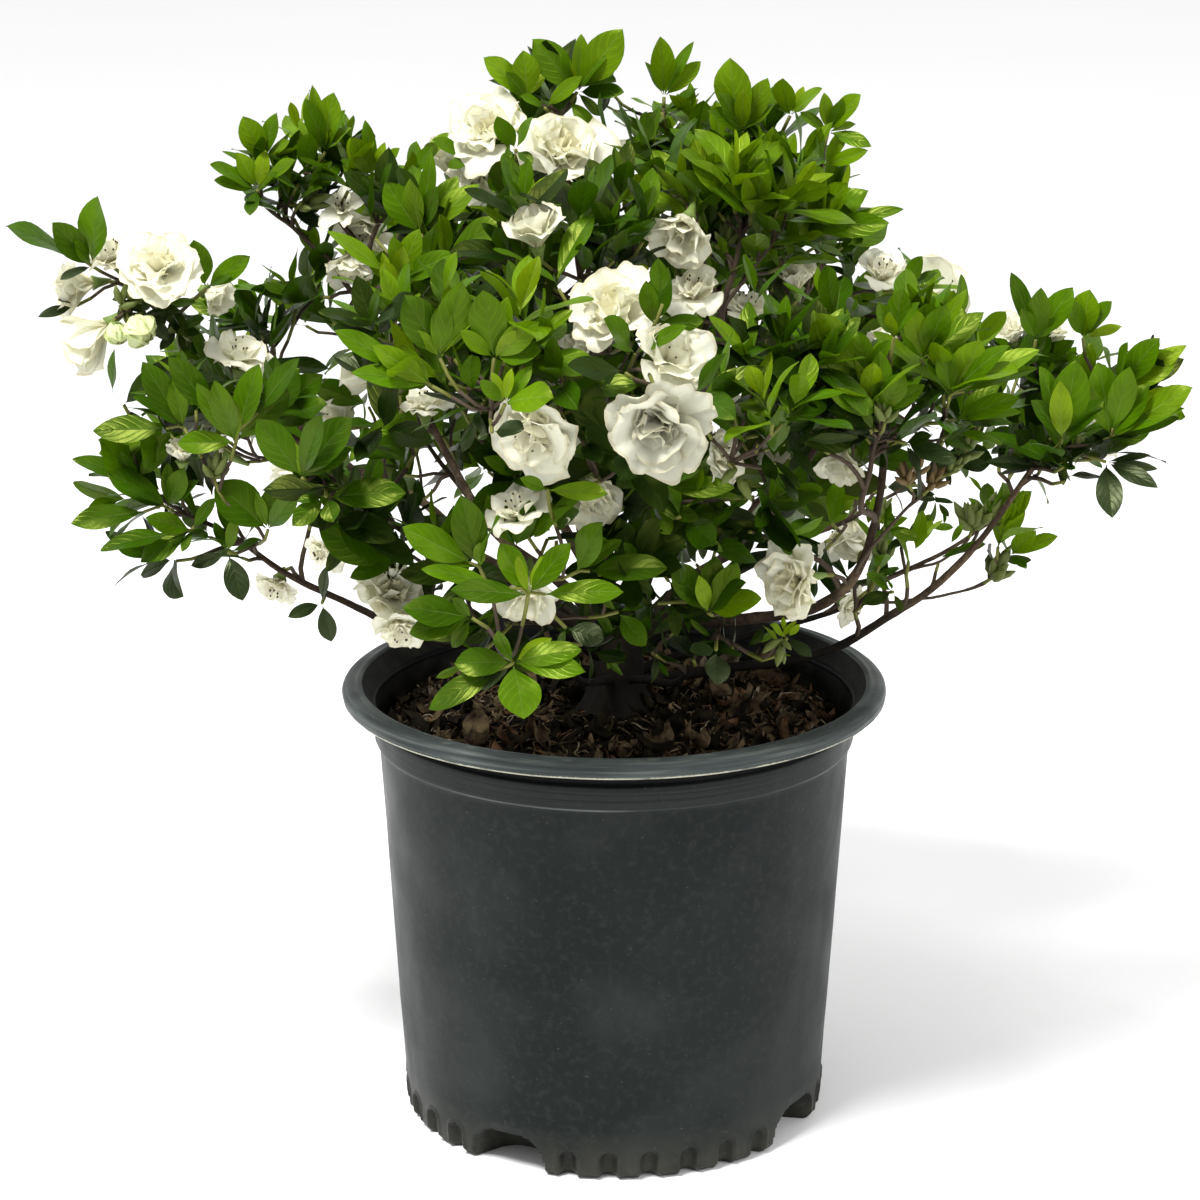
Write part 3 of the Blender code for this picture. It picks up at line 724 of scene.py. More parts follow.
# Each bough: where it leaves the stem (height, degrees from +X towards +Y, degrees above level),
# its foot's radius, the elbow that it passes through, and the mass that it runs to
BOUGHS = {
    "bough_far_right": ((0.230, 0, 8), 0.0037, (0.150, 0.000, 0.269), "foliage_far_right"),
    "bough_right_buds": ((0.232, 35, 15), 0.0028, (0.110, 0.040, 0.256), "foliage_right_buds"),
    "bough_back_low_right": ((0.232, 72, 20), 0.0034, (0.050, 0.095, 0.262), "foliage_back_low_right"),
    "bough_back_low_left": ((0.232, 118, 20), 0.0034, (-0.050, 0.090, 0.268), "foliage_back_low_left"),
    "bough_left_low": ((0.234, 188, 14), 0.0035, (-0.118, -0.018, 0.268), "foliage_left_low"),
    "bough_front_low": ((0.232, 255, 20), 0.0031, (-0.022, -0.070, 0.256), "foliage_front_low"),
    "bough_front_right_low": ((0.232, 305, 20), 0.0029, (0.036, -0.058, 0.252), "foliage_front_right_low"),
    "bough_right_front": ((0.252, 335, 32), 0.0044, (0.114, -0.080, 0.306), "foliage_right_front"),
    "bough_back_right": ((0.252, 38, 42), 0.0040, (0.080, 0.060, 0.300), "foliage_back_right"),
    "bough_back_crest": ((0.254, 70, 52), 0.0039, (0.032, 0.055, 0.350), "foliage_back_crest"),
    "bough_back_middle": ((0.246, 105, 38), 0.0036, (-0.004, 0.075, 0.305), "foliage_back_middle"),
    "bough_back_left": ((0.252, 135, 42), 0.0040, (-0.075, 0.055, 0.310), "foliage_back_left"),
    "bough_far_left": ((0.252, 176, 42), 0.0038, (-0.115, 0.012, 0.325), "foliage_far_left"),
    "bough_left_middle": ((0.242, 202, 34), 0.0037, (-0.098, -0.030, 0.334), "foliage_left_middle"),
    "bough_left_front": ((0.250, 218, 42), 0.0036, (-0.075, -0.055, 0.305), "foliage_left_front"),
    "bough_centre": ((0.254, 262, 60), 0.0038, (-0.012, -0.048, 0.350), "foliage_centre_top"),
    "bough_right_low": ((0.252, 5, 38), 0.0034, (0.065, -0.004, 0.290), "foliage_right_low"),
    "bough_top_right": ((0.266, 355, 72), 0.0040, (0.040, -0.004, 0.370), "foliage_top_right"),
    "bough_top_left": ((0.266, 135, 76), 0.0038, (-0.014, 0.020, 0.400), "foliage_top_left"),
    "bough_upper_left": ((0.266, 205, 68), 0.0038, (-0.065, 0.012, 0.370), "foliage_upper_left"),
}
BOUGH_TAPER = 0.38
BOUGH_SLIM = 0.80  # bare wood over the CAD limb
BOUGH_OFFSET = 0.0072
BOUGH_STEPS = 26
BOUGH_DRIFT = 0.0035


class Skeleton:
    """Every point that a new twig may spring from, with the way it runs and its thickness."""

    def __init__(self):
        self.points = np.zeros((0, 3))
        self.ways = np.zeros((0, 3))
        self.radii = np.zeros(0)

    def add(self, path, radii):
        self.points = np.concatenate([self.points, path])
        self.ways = np.concatenate([self.ways, np.gradient(path, axis=0)])
        self.radii = np.concatenate([self.radii, radii])

    def best(self, target, axis):
        """The point whose way to the target is short and comes up behind it."""
        gap = target - self.points
        distance = np.linalg.norm(gap, axis=1)
        heading = gap / np.maximum(distance[:, None], 1e-6)
        behind = heading @ axis
        rising = heading[:, 2]
        cost = distance * (1.9 - 0.65 * behind - 0.45 * rising) + 0.02 * (distance < 0.014)
        return int(np.argmin(cost))


skeleton = Skeleton()


def mass_centre(name):
    low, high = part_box(name)
    return (np.array(low) + np.array(high)) / 2


def grow_boughs():
    """The limbs of the CAD model, with bark relief, carried on into their masses."""
    for (height, azimuth, rise), foot_radius, elbow, target in BOUGHS.values():
        turn = math.radians(azimuth)
        outward = np.array((math.cos(turn), math.sin(turn), 0.0))
        share = min((height - SOIL_SEAT) / (STEM_TOP - SOIL_SEAT), 1.0)
        start = STEM_LEAN * share + outward * BOUGH_OFFSET + UP * height
        leaving = swung(outward, UP, math.radians(rise))
        elbow, end = np.array(elbow), mass_centre(target)
        through = unit(end - start)
        low, high = np.linalg.norm(elbow - start) / 3, np.linalg.norm(end - elbow) / 3
        arrive = end - unit(end - elbow) * high
        lower = bezier((start, start + leaving * low, elbow - through * low, elbow), BOUGH_STEPS)
        upper = bezier((elbow, elbow + through * high, arrive, end), BOUGH_STEPS)
        path = np.array(lower + upper[1:])
        fade = np.clip(np.linspace(0.0, 4.0, len(path)), 0.0, 1.0)[:, None]
        path = path + drift(path, 22.0, 7.3) * BOUGH_DRIFT * fade
        along = np.linspace(0.0, 1.0, len(path))
        radii = foot_radius * BOUGH_SLIM * (1.0 - (1.0 - BOUGH_TAPER) * along)
        knots = np.array([noise.noise(Vector(point * 60.0)) for point in path])
        tube(limbs, path, radii * (1.0 + 0.12 * knots), sides=12, bump=0.16)
        skeleton.add(path[8:], radii[8:])


def grow_stem():
    """The short stem with its root flare, ridged and rough."""
    foot = SOIL_SEAT - 0.003
    height = STEM_TOP - foot
    points = np.zeros((STEM_ROWS, STEM_SIDES, 3))
    for row in range(STEM_ROWS):
        share = row / (STEM_ROWS - 1)
        radius = STEM_RADIUS * (1.0 - 0.18 * share) + STEM_FLARE * (1.0 - share) ** 6
        if share > STEM_DOME:
            radius *= math.sqrt(max(1.0 - ((share - STEM_DOME) / (1.0 - STEM_DOME)) ** 2, 0.0))
        for side in range(STEM_SIDES):
            turn = math.tau * side / STEM_SIDES
            way = Vector((math.cos(turn), math.sin(turn), 0.0))
            ridge = noise.noise(way * 2.6 + Vector((0, 0, share * 1.2)))
            ridge += 0.5 * noise.noise(way * 7.0 + Vector((3, 1, share * 5.0)))
            reach = radius * (1.0 + 0.13 * ridge * (0.5 + share * 0.5))
            points[row, side] = np.array(way) * reach + STEM_LEAN * share + UP * (foot + height * share)
    limbs.grid(points, closed=True)
    top = np.array([STEM_LEAN * share + UP * (foot + height * share) for share in (0.75, 0.9, 0.98)])
    skeleton.add(top, np.full(3, 0.004))


TWIG_RADIUS = 0.0009
STALK_RADIUS = 0.0010
LONG_TWIG = 0.05


def grow_twig(base, axis, thickness=TWIG_RADIUS):
    """A twig from the nearest fitting limb to a spray's foot. Its last stretch is young and green."""
    root = skeleton.best(base, axis)
    start = skeleton.points[root]
    gap = base - start
    length = np.linalg.norm(gap)
    leaving = unit(skeleton.ways[root]) * 0.7 + unit(gap)
    steps = int(np.clip(length / 0.006, 4, 18))
    path = smooth_path(start, leaving, base, axis * 0.8 + unit(gap) * 0.6, steps)
    fade = np.sin(np.linspace(0.0, math.pi, len(path)))[:, None]
    path = path + drift(path, 60.0, 5.1, 1.7) * min(0.05 * length, 0.0025) * fade
    foot = min(skeleton.radii[root] * 0.85, thickness + 0.015 * length)
    radii = np.linspace(max(foot, thickness), thickness, len(path))
    young = min(max(round(len(path) / 2), 1), len(path) - 2)
    if length > LONG_TWIG:
        young = max(young, len(path) - 5)
    tube(twigs, path[: young + 1], radii[: young + 1], slot=0)
    tube(twigs, path[young:], radii[young:], slot=1)
    if len(path) > 4:
        skeleton.add(path[2:-1], radii[2:-1])


def grow_led_twig(points, radius):
    """A twig that springs from the nearest fitting limb and runs through given points."""
    root = skeleton.best(points[0], unit(points[1] - points[0]))
    start = skeleton.points[root]
    leaving = unit(skeleton.ways[root]) * 0.7 + unit(points[0] - start)
    path = list(smooth_path(start, leaving, points[0], points[1] - points[0], 8))
    knots = [path[-2]] + list(points) + [2.0 * points[-1] - points[-2]]
    for before, here, there, after in zip(knots, knots[1:], knots[2:], knots[3:]):
        low, high = here + (there - before) / 6, there - (after - here) / 6
        path += [np.array(point) for point in bezier((here, low, high, there), 6)[1:]]
    path = np.array(path)
    fade = np.clip(np.arange(len(path)) / 4.0, 0.0, 1.0)[:, None]
    path = path + drift(path, 70.0, 5.1, 1.7) * 0.0016 * fade
    radii = radius * (1.0 - 0.45 * np.linspace(0.0, 1.0, len(path)))
    tube(twigs, path, radii, sides=7, slot=0)
    skeleton.add(path[3:], radii[3:])


# ---------------------------------------------------------------- what shows from the front
# Sprays by mass: pixel across, pixel down, degrees of the axis in view (90 is up), number of
# leaves, leaf length in mm, tint, and how far the spray stands behind the mass's middle in mm
SPRAYS = {
    "far_left": [(170, 318, 300, 5, 20, SHADE, 8), (196, 345, 210, 4, 26, DEEP, 20)],
    "upper_left": [
        (290, 200, 100, 5, 30, MID, -6), (350, 172, 82, 7, 33, BRIGHT, -14),
        (300, 135, 105, 6, 30, BRIGHT, 10), (420, 168, 62, 6, 30, MID, 0),
        (310, 185, 60, 5, 28, MID, -18), (345, 150, 85, 6, 30, MID, 16), (270, 165, 120, 5, 30, MID, 14),
        (284, 184, 80, 6, 30, DEEP, -2), (322, 200, 70, 5, 28, DEEP, 6), (305, 165, 70, 6, 32, MID, -8),
    ],
    "left_shoulder": [
        (430, 250, 96, 6, 34, MID, -14), (474, 206, 62, 7, 38, MID, -4), (440, 275, 230, 4, 24, SHADE, 0),
        (392, 296, 88, 6, 32, BRIGHT, -40), (372, 220, 100, 5, 34, DEEP, 4),
        (500, 215, 30, 5, 38, DEEP, 0), (420, 205, 90, 6, 35, DEEP, 16), (470, 262, 40, 5, 36, DEEP, 0),
    ],
    "left_inner": [
        (292, 292, 100, 8, 38, MID, -10), (262, 316, 120, 5, 34, DEEP, 6), (318, 262, 96, 6, 34, MID, 4),
        (270, 345, 60, 5, 34, DEEP, -16), (370, 300, 60, 5, 32, DEEP, 12),
        (245, 345, 160, 4, 28, SHADE, 0),
    ],
    "left_middle": [
        (188, 392, 112, 5, 36, MID, -6), (172, 418, 120, 4, 30, DEEP, 12),
        (272, 400, 60, 6, 36, DEEP, -4), (150, 440, 200, 4, 36, MID, 6), (318, 470, 90, 4, 34, DEEP, 30),
    ],
    "left_low": [
        (150, 500, 140, 5, 38, DEEP, 6), (200, 520, 120, 5, 38, DEEP, 4),
        (125, 500, 190, 4, 34, DEEP, 10), (235, 540, 110, 5, 36, DEEP, 0),
    ],
    "left_front": [
        (358, 440, 24, 6, 36, DEEP, 8), (345, 470, 60, 4, 36, DEEP, 20), (375, 520, 20, 5, 36, DEEP, 24),
        (395, 570, 90, 5, 32, SHADE, 26), (385, 540, 150, 5, 38, SHADE, 10),
        (362, 500, 30, 5, 34, DEEP, 30), (420, 590, 100, 5, 32, SHADE, 30),
        (410, 520, 60, 5, 34, SHADE, 34),
    ],
    "centre_left": [
        (430, 372, 150, 6, 42, BRIGHT, -6), (402, 325, 104, 5, 40, MID, 10),
        (520, 312, 82, 7, 40, BRIGHT, -8), (556, 345, 62, 6, 40, MID, 4), (452, 338, 96, 5, 40, MID, 10),
        (470, 385, 120, 5, 36, MID, -4), (445, 300, 90, 5, 36, MID, 24), (475, 420, 250, 4, 26, OLD, -10),
        (545, 420, 200, 3, 24, OLD, -16), (535, 345, 60, 6, 34, MID, -16),
    ],
    "centre_top": [
        (612, 240, 96, 7, 35, DEEP, 0), (645, 222, 84, 7, 35, DEEP, 10),
        (520, 212, 58, 5, 36, BRIGHT, 20), (556, 268, 98, 6, 38, MID, -20),
        (535, 265, 120, 5, 36, DEEP, 8), (620, 196, 90, 6, 33, SHADE, 30),
        (590, 262, 60, 4, 30, DEEP, -6), (618, 262, 80, 6, 34, SHADE, 8),
    ],
    "top_left": [
        (606, 140, 140, 5, 36, DEEP, -10), (550, 95, 90, 5, 34, DEEP, 14), (640, 150, 60, 6, 34, DEEP, 6),
        (600, 190, 200, 4, 30, SHADE, 12), (560, 190, 250, 3, 26, SHADE, 14),
    ],
    "top_middle": [
        (694, 124, 96, 7, 34, MID, -16), (640, 130, 100, 6, 33, MID, -8), (700, 150, 70, 6, 34, DEEP, 4),
        (655, 170, 100, 7, 35, MID, -24),
    ],
    "top_right": [
        (690, 202, 116, 8, 44, BRIGHT, -26), (716, 192, 97, 9, 42, BRIGHT, -32),
        (764, 185, 82, 8, 42, MID, -20), (800, 165, 64, 8, 40, MID, -20), (772, 216, 60, 8, 40, MID, -34),
        (722, 150, 100, 6, 36, MID, 6), (700, 232, 140, 4, 36, BRIGHT, -30),
        (655, 165, 140, 5, 40, MID, -24), (735, 180, 85, 8, 40, BRIGHT, -44),
        (790, 195, 50, 7, 38, BRIGHT, -40), (725, 262, 100, 5, 20, MID, -32),
        (800, 240, 20, 5, 34, MID, -10), (742, 265, 60, 4, 22, MID, -26),
        (762, 240, 70, 6, 34, BRIGHT, -28), (792, 252, 50, 5, 32, BRIGHT, -20),
        (768, 134, 95, 7, 36, DEEP, 4), (748, 140, 110, 6, 36, DEEP, -4),
    ],
    "right_shoulder": [
        (824, 244, 80, 6, 36, MID, -16), (838, 205, 80, 5, 36, BRIGHT, -6),
        (860, 240, 22, 5, 40, MID, -10), (850, 268, 70, 5, 34, DEEP, 14),
    ],
    "right_front": [
        (850, 352, 104, 7, 38, MID, -6), (926, 332, 100, 7, 36, MID, 4),
        (942, 374, 96, 7, 40, BRIGHT, -22), (868, 404, 96, 8, 42, BRIGHT, -42),
        (895, 420, 98, 7, 38, DEEP, -20), (962, 432, 26, 6, 33, MID, -10),
        (985, 404, 80, 6, 36, DEEP, 10), (815, 380, 150, 6, 40, BRIGHT, -20),
        (905, 305, 90, 6, 36, MID, 12), (845, 432, 170, 5, 30, OLD, -20),
        (915, 447, 335, 3, 36, OLD, -22), (830, 310, 120, 5, 38, MID, 8),
        (862, 436, 200, 5, 24, OLD, -14), (935, 400, 60, 6, 36, DEEP, 6), (978, 345, 70, 6, 34, MID, 12),
        (958, 322, 60, 5, 32, MID, 16), (880, 445, 280, 4, 20, OLD, -18),
    ],
    "far_right": [
        (1062, 448, 96, 7, 44, DEEP, -18), (1100, 350, 60, 5, 34, BRIGHT, 20),
        (1085, 395, 88, 6, 42, MID, 14), (1130, 400, 20, 5, 42, BRIGHT, 4),
        (1050, 385, 110, 6, 36, DEEP, 16), (1060, 456, 300, 4, 24, SHADE, -6),
        (1110, 450, 30, 5, 34, SHADE, 4), (1075, 465, 60, 5, 22, OLD, -12),
        (1052, 452, 120, 5, 26, SHADE, 2),
    ],
    "right_buds": [
        (1002, 530, 80, 5, 34, BRIGHT, -20), (986, 505, 100, 3, 26, MID, 0),
        (1008, 560, 340, 3, 20, SHADE, 4),
    ],
    "right_low": [
        (886, 545, 70, 5, 28, DEEP, 24), (846, 566, 100, 5, 30, SHADE, 24),
        (948, 548, 60, 4, 24, DEEP, 16), (918, 545, 62, 5, 30, BRIGHT, -6),
        (905, 490, 350, 5, 22, OLD, 10), (880, 560, 80, 4, 20, MID, -30), (866, 530, 75, 4, 30, MID, 6),
        (886, 588, 10, 3, 30, DEEP, -30), (880, 610, 350, 3, 26, DEEP, -24),
        (940, 505, 300, 4, 18, SHADE, 10), (925, 530, 20, 4, 22, DEEP, 6),
    ],
    "centre_right": [
        (772, 442, 100, 7, 33, DEEP, -10), (765, 404, 112, 6, 40, BRIGHT, -26),
        (794, 406, 58, 6, 40, MID, -22), (782, 345, 92, 7, 40, DEEP, 4),
        (738, 440, 168, 3, 38, DEEP, -20), (765, 455, 290, 4, 36, SHADE, -10),
        (806, 440, 10, 5, 33, SHADE, 0), (745, 355, 110, 6, 38, MID, 6),
        (722, 390, 120, 6, 40, DEEP, -14), (810, 355, 70, 6, 38, MID, 10),
        (755, 300, 95, 4, 36, DEEP, 24),
    ],
    "right_centre_low": [
        (664, 486, 0, 3, 44, DEEP, -20), (690, 525, 300, 4, 38, DEEP, -10),
        (700, 540, 0, 4, 42, DEEP, -6), (775, 495, 5, 5, 40, DEEP, 0), (770, 535, 350, 5, 40, DEEP, -4),
        (690, 500, 60, 3, 30, MID, -26), (808, 548, 200, 5, 34, SHADE, 60),
        (812, 566, 230, 5, 30, SHADE, 70), (640, 540, 250, 4, 34, DEEP, 6),
        (740, 535, 180, 4, 36, SHADE, 14), (645, 590, 270, 5, 30, SHADE, 30),
        (735, 560, 80, 7, 32, SHADE, 60), (760, 545, 30, 6, 32, SHADE, 70),
        (680, 555, 150, 6, 30, SHADE, 70), (712, 532, 100, 6, 34, SHADE, 64),
    ],
    "front_low": [
        (552, 520, 76, 4, 40, MID, 6), (604, 548, 78, 4, 26, MID, -6), (440, 540, 120, 4, 36, MID, 12),
        (590, 600, 300, 5, 32, SHADE, 26), (560, 640, 300, 5, 30, SHADE, 22),
        (620, 640, 250, 5, 26, SHADE, 50), (600, 620, 60, 6, 30, SHADE, 46),
        (650, 625, 80, 6, 28, DEEP, 60), (470, 660, 215, 4, 34, DEEP, -10),
        (640, 610, 200, 6, 30, SHADE, 30), (672, 600, 280, 5, 28, SHADE, 44),
        (600, 655, 330, 5, 26, SHADE, 36), (655, 655, 300, 5, 24, SHADE, 50),
        (690, 610, 60, 5, 28, SHADE, 60), (500, 600, 240, 4, 32, DEEP, 0),
    ],
    "centre_low": [
        (572, 480, 170, 3, 46, MID, -26), (560, 520, 80, 4, 34, DEEP, 0),
        (500, 455, 120, 5, 34, SHADE, 20), (600, 530, 80, 5, 32, SHADE, 20),
        (622, 470, 60, 4, 30, MID, 4),
    ],
    "front_right_low": [
        (716, 640, 150, 4, 22, SHADE, 0), (690, 640, 100, 4, 26, SHADE, 16),
        (782, 636, 80, 4, 14, YOUNG, -4), (750, 645, 20, 4, 20, SHADE, 6),
    ],
}

# Sprigs whose every leaf shows: where the foot is seen, mm behind the mass's middle, and the leaves
# as where the tip is seen, width over length, and tint
SPRIGS = {
    "far_left": [
        (132, 296, -16, [(112, 300, 0.35, OLD), (118, 318, 0.38, OLD), (146, 318, 0.35, SHADE),
            (158, 302, 0.30, OLD), (127, 325, 0.35, SHADE)]),
        (92, 266, -8, [(5, 226, 0.42, DEEP), (98, 196, 0.45, MID), (52, 222, 0.42, DEEP),
            (73, 241, 0.42, MID), (60, 280, 0.34, OLD)]),
        (206, 288, -4, [(193, 240, 0.48, MID), (250, 256, 0.38, MID), (232, 276, 0.30, DEEP)]),
        (165, 306, -8, [(138, 300, 0.35, OLD), (176, 326, 0.40, OLD), (188, 338, 0.40, SHADE),
            (196, 302, 0.35, DEEP), (150, 288, 0.30, DEEP), (160, 330, 0.40, OLD)]),
        (76, 306, 0, [(38, 317, 0.30, OLD), (58, 300, 0.35, SHADE)]),
        (142, 314, -22, [(124, 300, 0.36, OLD), (160, 320, 0.40, OLD), (170, 340, 0.40, OLD),
            (150, 296, 0.34, SHADE), (132, 322, 0.36, OLD), (182, 312, 0.36, SHADE)]),
        (178, 330, -10, [(160, 350, 0.40, OLD), (186, 352, 0.36, SHADE), (168, 312, 0.36, OLD),
            (200, 334, 0.40, SHADE), (205, 318, 0.34, DEEP)]),
    ],
    "upper_left": [
        (257, 190, -16, [(210, 164, 0.36, MID), (214, 180, 0.36, MID), (236, 152, 0.45, BRIGHT),
            (250, 216, 0.42, DEEP), (296, 160, 0.40, BRIGHT), (266, 150, 0.40, YOUNG),
            (280, 178, 0.42, BRIGHT)]),
        (264, 160, -4, [(243, 116, 0.50, BRIGHT), (277, 112, 0.34, MID), (290, 140, 0.35, BRIGHT)]),
        (325, 152, -8, [(312, 85, 0.20, BRIGHT), (334, 92, 0.45, BRIGHT), (305, 98, 0.30, MID),
            (352, 128, 0.42, BRIGHT), (298, 122, 0.40, BRIGHT), (318, 118, 0.36, YOUNG),
            (345, 110, 0.35, MID)]),
        (374, 178, -14, [(365, 120, 0.25, MID), (352, 137, 0.42, BRIGHT), (400, 148, 0.35, BRIGHT),
            (385, 142, 0.30, YOUNG), (340, 160, 0.35, MID)]),
        (403, 190, -10, [(433, 146, 0.36, MID), (412, 150, 0.36, BRIGHT), (390, 158, 0.30, MID)]),
    ],
    "left_shoulder": [
        (400, 283, -34, [(327, 231, 0.30, BRIGHT), (392, 236, 0.38, BRIGHT), (420, 228, 0.40, BRIGHT),
            (456, 253, 0.34, MID), (368, 262, 0.35, BRIGHT), (432, 268, 0.30, MID),
            (404, 246, 0.35, YOUNG)]),
        (374, 380, -10, [(333, 356, 0.30, OLD), (352, 350, 0.30, SHADE), (396, 352, 0.34, DEEP)]),
        (445, 262, -24, [(505, 219, 0.42, MID), (500, 250, 0.35, MID), (440, 214, 0.36, BRIGHT)]),
        (421, 234, -14, [(385, 182, 0.50, MID), (437, 186, 0.34, DEEP), (480, 184, 0.34, BRIGHT),
            (432, 152, 0.20, MID), (410, 178, 0.34, BRIGHT), (458, 176, 0.36, MID)]),
    ],
    "top_left": [
        (528, 99, -8, [(483, 57, 0.42, BRIGHT), (523, 50, 0.56, BRIGHT), (506, 72, 0.36, MID),
            (545, 62, 0.34, YOUNG)]),
        (577, 92, 0, [(532, 39, 0.45, MID), (581, 34, 0.34, BRIGHT), (623, 29, 0.46, BRIGHT),
            (558, 48, 0.36, DEEP), (606, 56, 0.34, MID), (600, 116, 0.36, DEEP), (624, 92, 0.42, DEEP),
            (570, 60, 0.35, YOUNG)]),
        (545, 108, -12, [(582, 76, 0.30, BRIGHT), (520, 96, 0.35, MID)]),
        (516, 150, -46, [(497, 116, 0.46, MID), (533, 117, 0.30, MID), (500, 162, 0.50, DEEP),
            (533, 164, 0.50, DEEP)]),
        (470, 160, -18, [(432, 139, 0.36, MID), (448, 168, 0.34, MID)]),
    ],
    "top_middle": [
        (664, 97, -10, [(660, 36, 0.36, BRIGHT), (694, 41, 0.22, MID), (701, 61, 0.34, BRIGHT),
            (645, 62, 0.32, MID), (674, 62, 0.30, YOUNG)]),
        (662, 113, -14, [(698, 88, 0.32, DEEP), (692, 102, 0.32, DEEP), (630, 98, 0.36, BRIGHT),
            (640, 118, 0.34, BRIGHT)]),
    ],
    "top_right": [
        (742, 132, -12, [(730, 57, 0.50, BRIGHT), (757, 88, 0.34, MID), (768, 78, 0.38, BRIGHT),
            (718, 92, 0.34, MID), (708, 110, 0.36, MID), (775, 104, 0.40, BRIGHT),
            (744, 88, 0.28, YOUNG)]),
        (790, 116, -4, [(783, 78, 0.50, BRIGHT), (804, 86, 0.32, YOUNG), (822, 88, 0.36, BRIGHT),
            (765, 92, 0.36, MID)]),
        (828, 132, -8, [(861, 94, 0.44, BRIGHT), (843, 98, 0.34, MID), (824, 92, 0.34, BRIGHT),
            (872, 147, 0.32, MID), (856, 124, 0.38, BRIGHT), (800, 112, 0.36, MID)]),
        (824, 166, -12, [(868, 150, 0.30, BRIGHT), (846, 130, 0.36, BRIGHT), (815, 130, 0.38, MID)]),
        (812, 230, -14, [(904, 209, 0.20, MID), (890, 223, 0.30, MID), (869, 190, 0.40, MID),
            (848, 183, 0.44, BRIGHT), (826, 180, 0.40, BRIGHT)]),
        (752, 218, -44, [(690, 160, 0.34, BRIGHT), (730, 150, 0.30, BRIGHT), (765, 160, 0.36, BRIGHT),
            (788, 190, 0.34, BRIGHT), (710, 186, 0.30, MID), (745, 176, 0.28, YOUNG)]),
    ],
    "right_shoulder": [
        (906, 288, -8, [(922, 256, 0.50, MID), (967, 288, 0.16, BRIGHT), (938, 272, 0.36, DEEP),
            (944, 302, 0.28, MID)]),
    ],
    "right_front": [
        (869, 378, -36, [(815, 313, 0.36, BRIGHT), (796, 352, 0.40, BRIGHT), (857, 330, 0.46, MID),
            (890, 340, 0.36, MID), (840, 345, 0.34, MID)]),
        (894, 338, -30, [(903, 288, 0.46, MID), (920, 302, 0.34, MID), (878, 302, 0.30, MID),
            (890, 312, 0.30, YOUNG)]),
        (922, 360, -20, [(946, 304, 0.40, MID), (984, 312, 0.34, MID), (968, 288, 0.18, BRIGHT),
            (912, 305, 0.40, BRIGHT), (898, 325, 0.36, MID), (942, 330, 0.34, YOUNG)]),
        (950, 396, -24, [(1040, 350, 0.33, BRIGHT), (1038, 368, 0.24, MID), (981, 340, 0.52, BRIGHT),
            (946, 345, 0.40, MID), (1010, 345, 0.30, MID), (925, 365, 0.36, MID)]),
        (880, 412, -46, [(850, 368, 0.44, MID), (880, 350, 0.36, MID), (905, 372, 0.46, MID),
            (830, 395, 0.36, MID), (925, 385, 0.34, MID)]),
        (955, 420, -14, [(1020, 398, 0.30, MID), (1022, 412, 0.22, MID), (1000, 385, 0.34, MID),
            (1016, 424, 0.22, DEEP)]),
        (905, 443, -30, [(956, 463, 0.44, OLD), (932, 436, 0.36, SHADE), (886, 454, 0.36, OLD),
            (920, 472, 0.34, OLD)]),
        (874, 430, -44, [(841, 424, 0.44, OLD), (850, 446, 0.36, OLD), (862, 408, 0.34, DEEP),
            (826, 410, 0.30, SHADE)]),
    ],
    "far_right": [
        (1036, 340, -10, [(1011, 272, 0.25, DEEP), (1041, 287, 0.34, MID), (1073, 287, 0.42, MID),
            (1022, 308, 0.30, MID), (1058, 318, 0.34, MID)]),
        (1083, 338, 4, [(1090, 289, 0.60, BRIGHT), (1070, 300, 0.40, MID), (1112, 301, 0.44, MID),
            (1100, 308, 0.30, YOUNG), (1122, 326, 0.30, YOUNG)]),
        (1118, 388, -2, [(1178, 354, 0.48, BRIGHT), (1160, 338, 0.42, MID), (1128, 342, 0.34, MID),
            (1187, 345, 0.24, YOUNG)]),
        (1110, 438, -16, [(1193, 387, 0.38, BRIGHT), (1185, 408, 0.24, MID), (1181, 417, 0.18, DEEP),
            (1150, 384, 0.44, MID), (1130, 366, 0.36, MID), (1098, 362, 0.46, MID),
            (1140, 412, 0.44, MID)]),
        (1062, 440, -26, [(1040, 366, 0.36, MID), (1076, 360, 0.46, MID), (1104, 400, 0.40, DEEP),
            (1030, 400, 0.34, DEEP), (1060, 380, 0.30, YOUNG)]),
        (1106, 462, -12, [(1151, 455, 0.20, OLD), (1158, 469, 0.20, OLD), (1158, 488, 0.30, OLD),
            (1112, 518, 0.42, OLD)]),
        (1042, 466, 0, [(985, 462, 0.20, OLD), (1000, 474, 0.26, OLD), (1014, 430, 0.42, SHADE),
            (1030, 422, 0.40, SHADE), (1072, 440, 0.40, SHADE)]),
    ],
    "left_middle": [
        (236, 442, -26, [(168, 356, 0.36, DEEP), (299, 358, 0.30, DEEP), (259, 364, 0.38, MID),
            (196, 382, 0.26, MID), (177, 444, 0.40, MID), (290, 392, 0.34, DEEP), (214, 380, 0.30, MID),
            (230, 396, 0.30, BRIGHT)]),
        (258, 426, 24, [(323, 374, 0.40, DEEP), (300, 368, 0.45, DEEP), (328, 404, 0.45, DEEP),
            (304, 398, 0.50, DEEP)]),
        (184, 428, -16, [(93, 431, 0.38, DEEP), (142, 361, 0.36, DEEP), (133, 396, 0.34, DEEP),
            (172, 380, 0.36, MID)]),
    ],
    "left_low": [
        (138, 480, 0, [(72, 459, 0.32, DEEP), (98, 440, 0.60, MID), (170, 432, 0.36, DEEP),
            (120, 452, 0.30, DEEP)]),
        (168, 508, -12, [(70, 524, 0.34, DEEP), (107, 472, 0.50, DEEP), (126, 490, 0.30, DEEP),
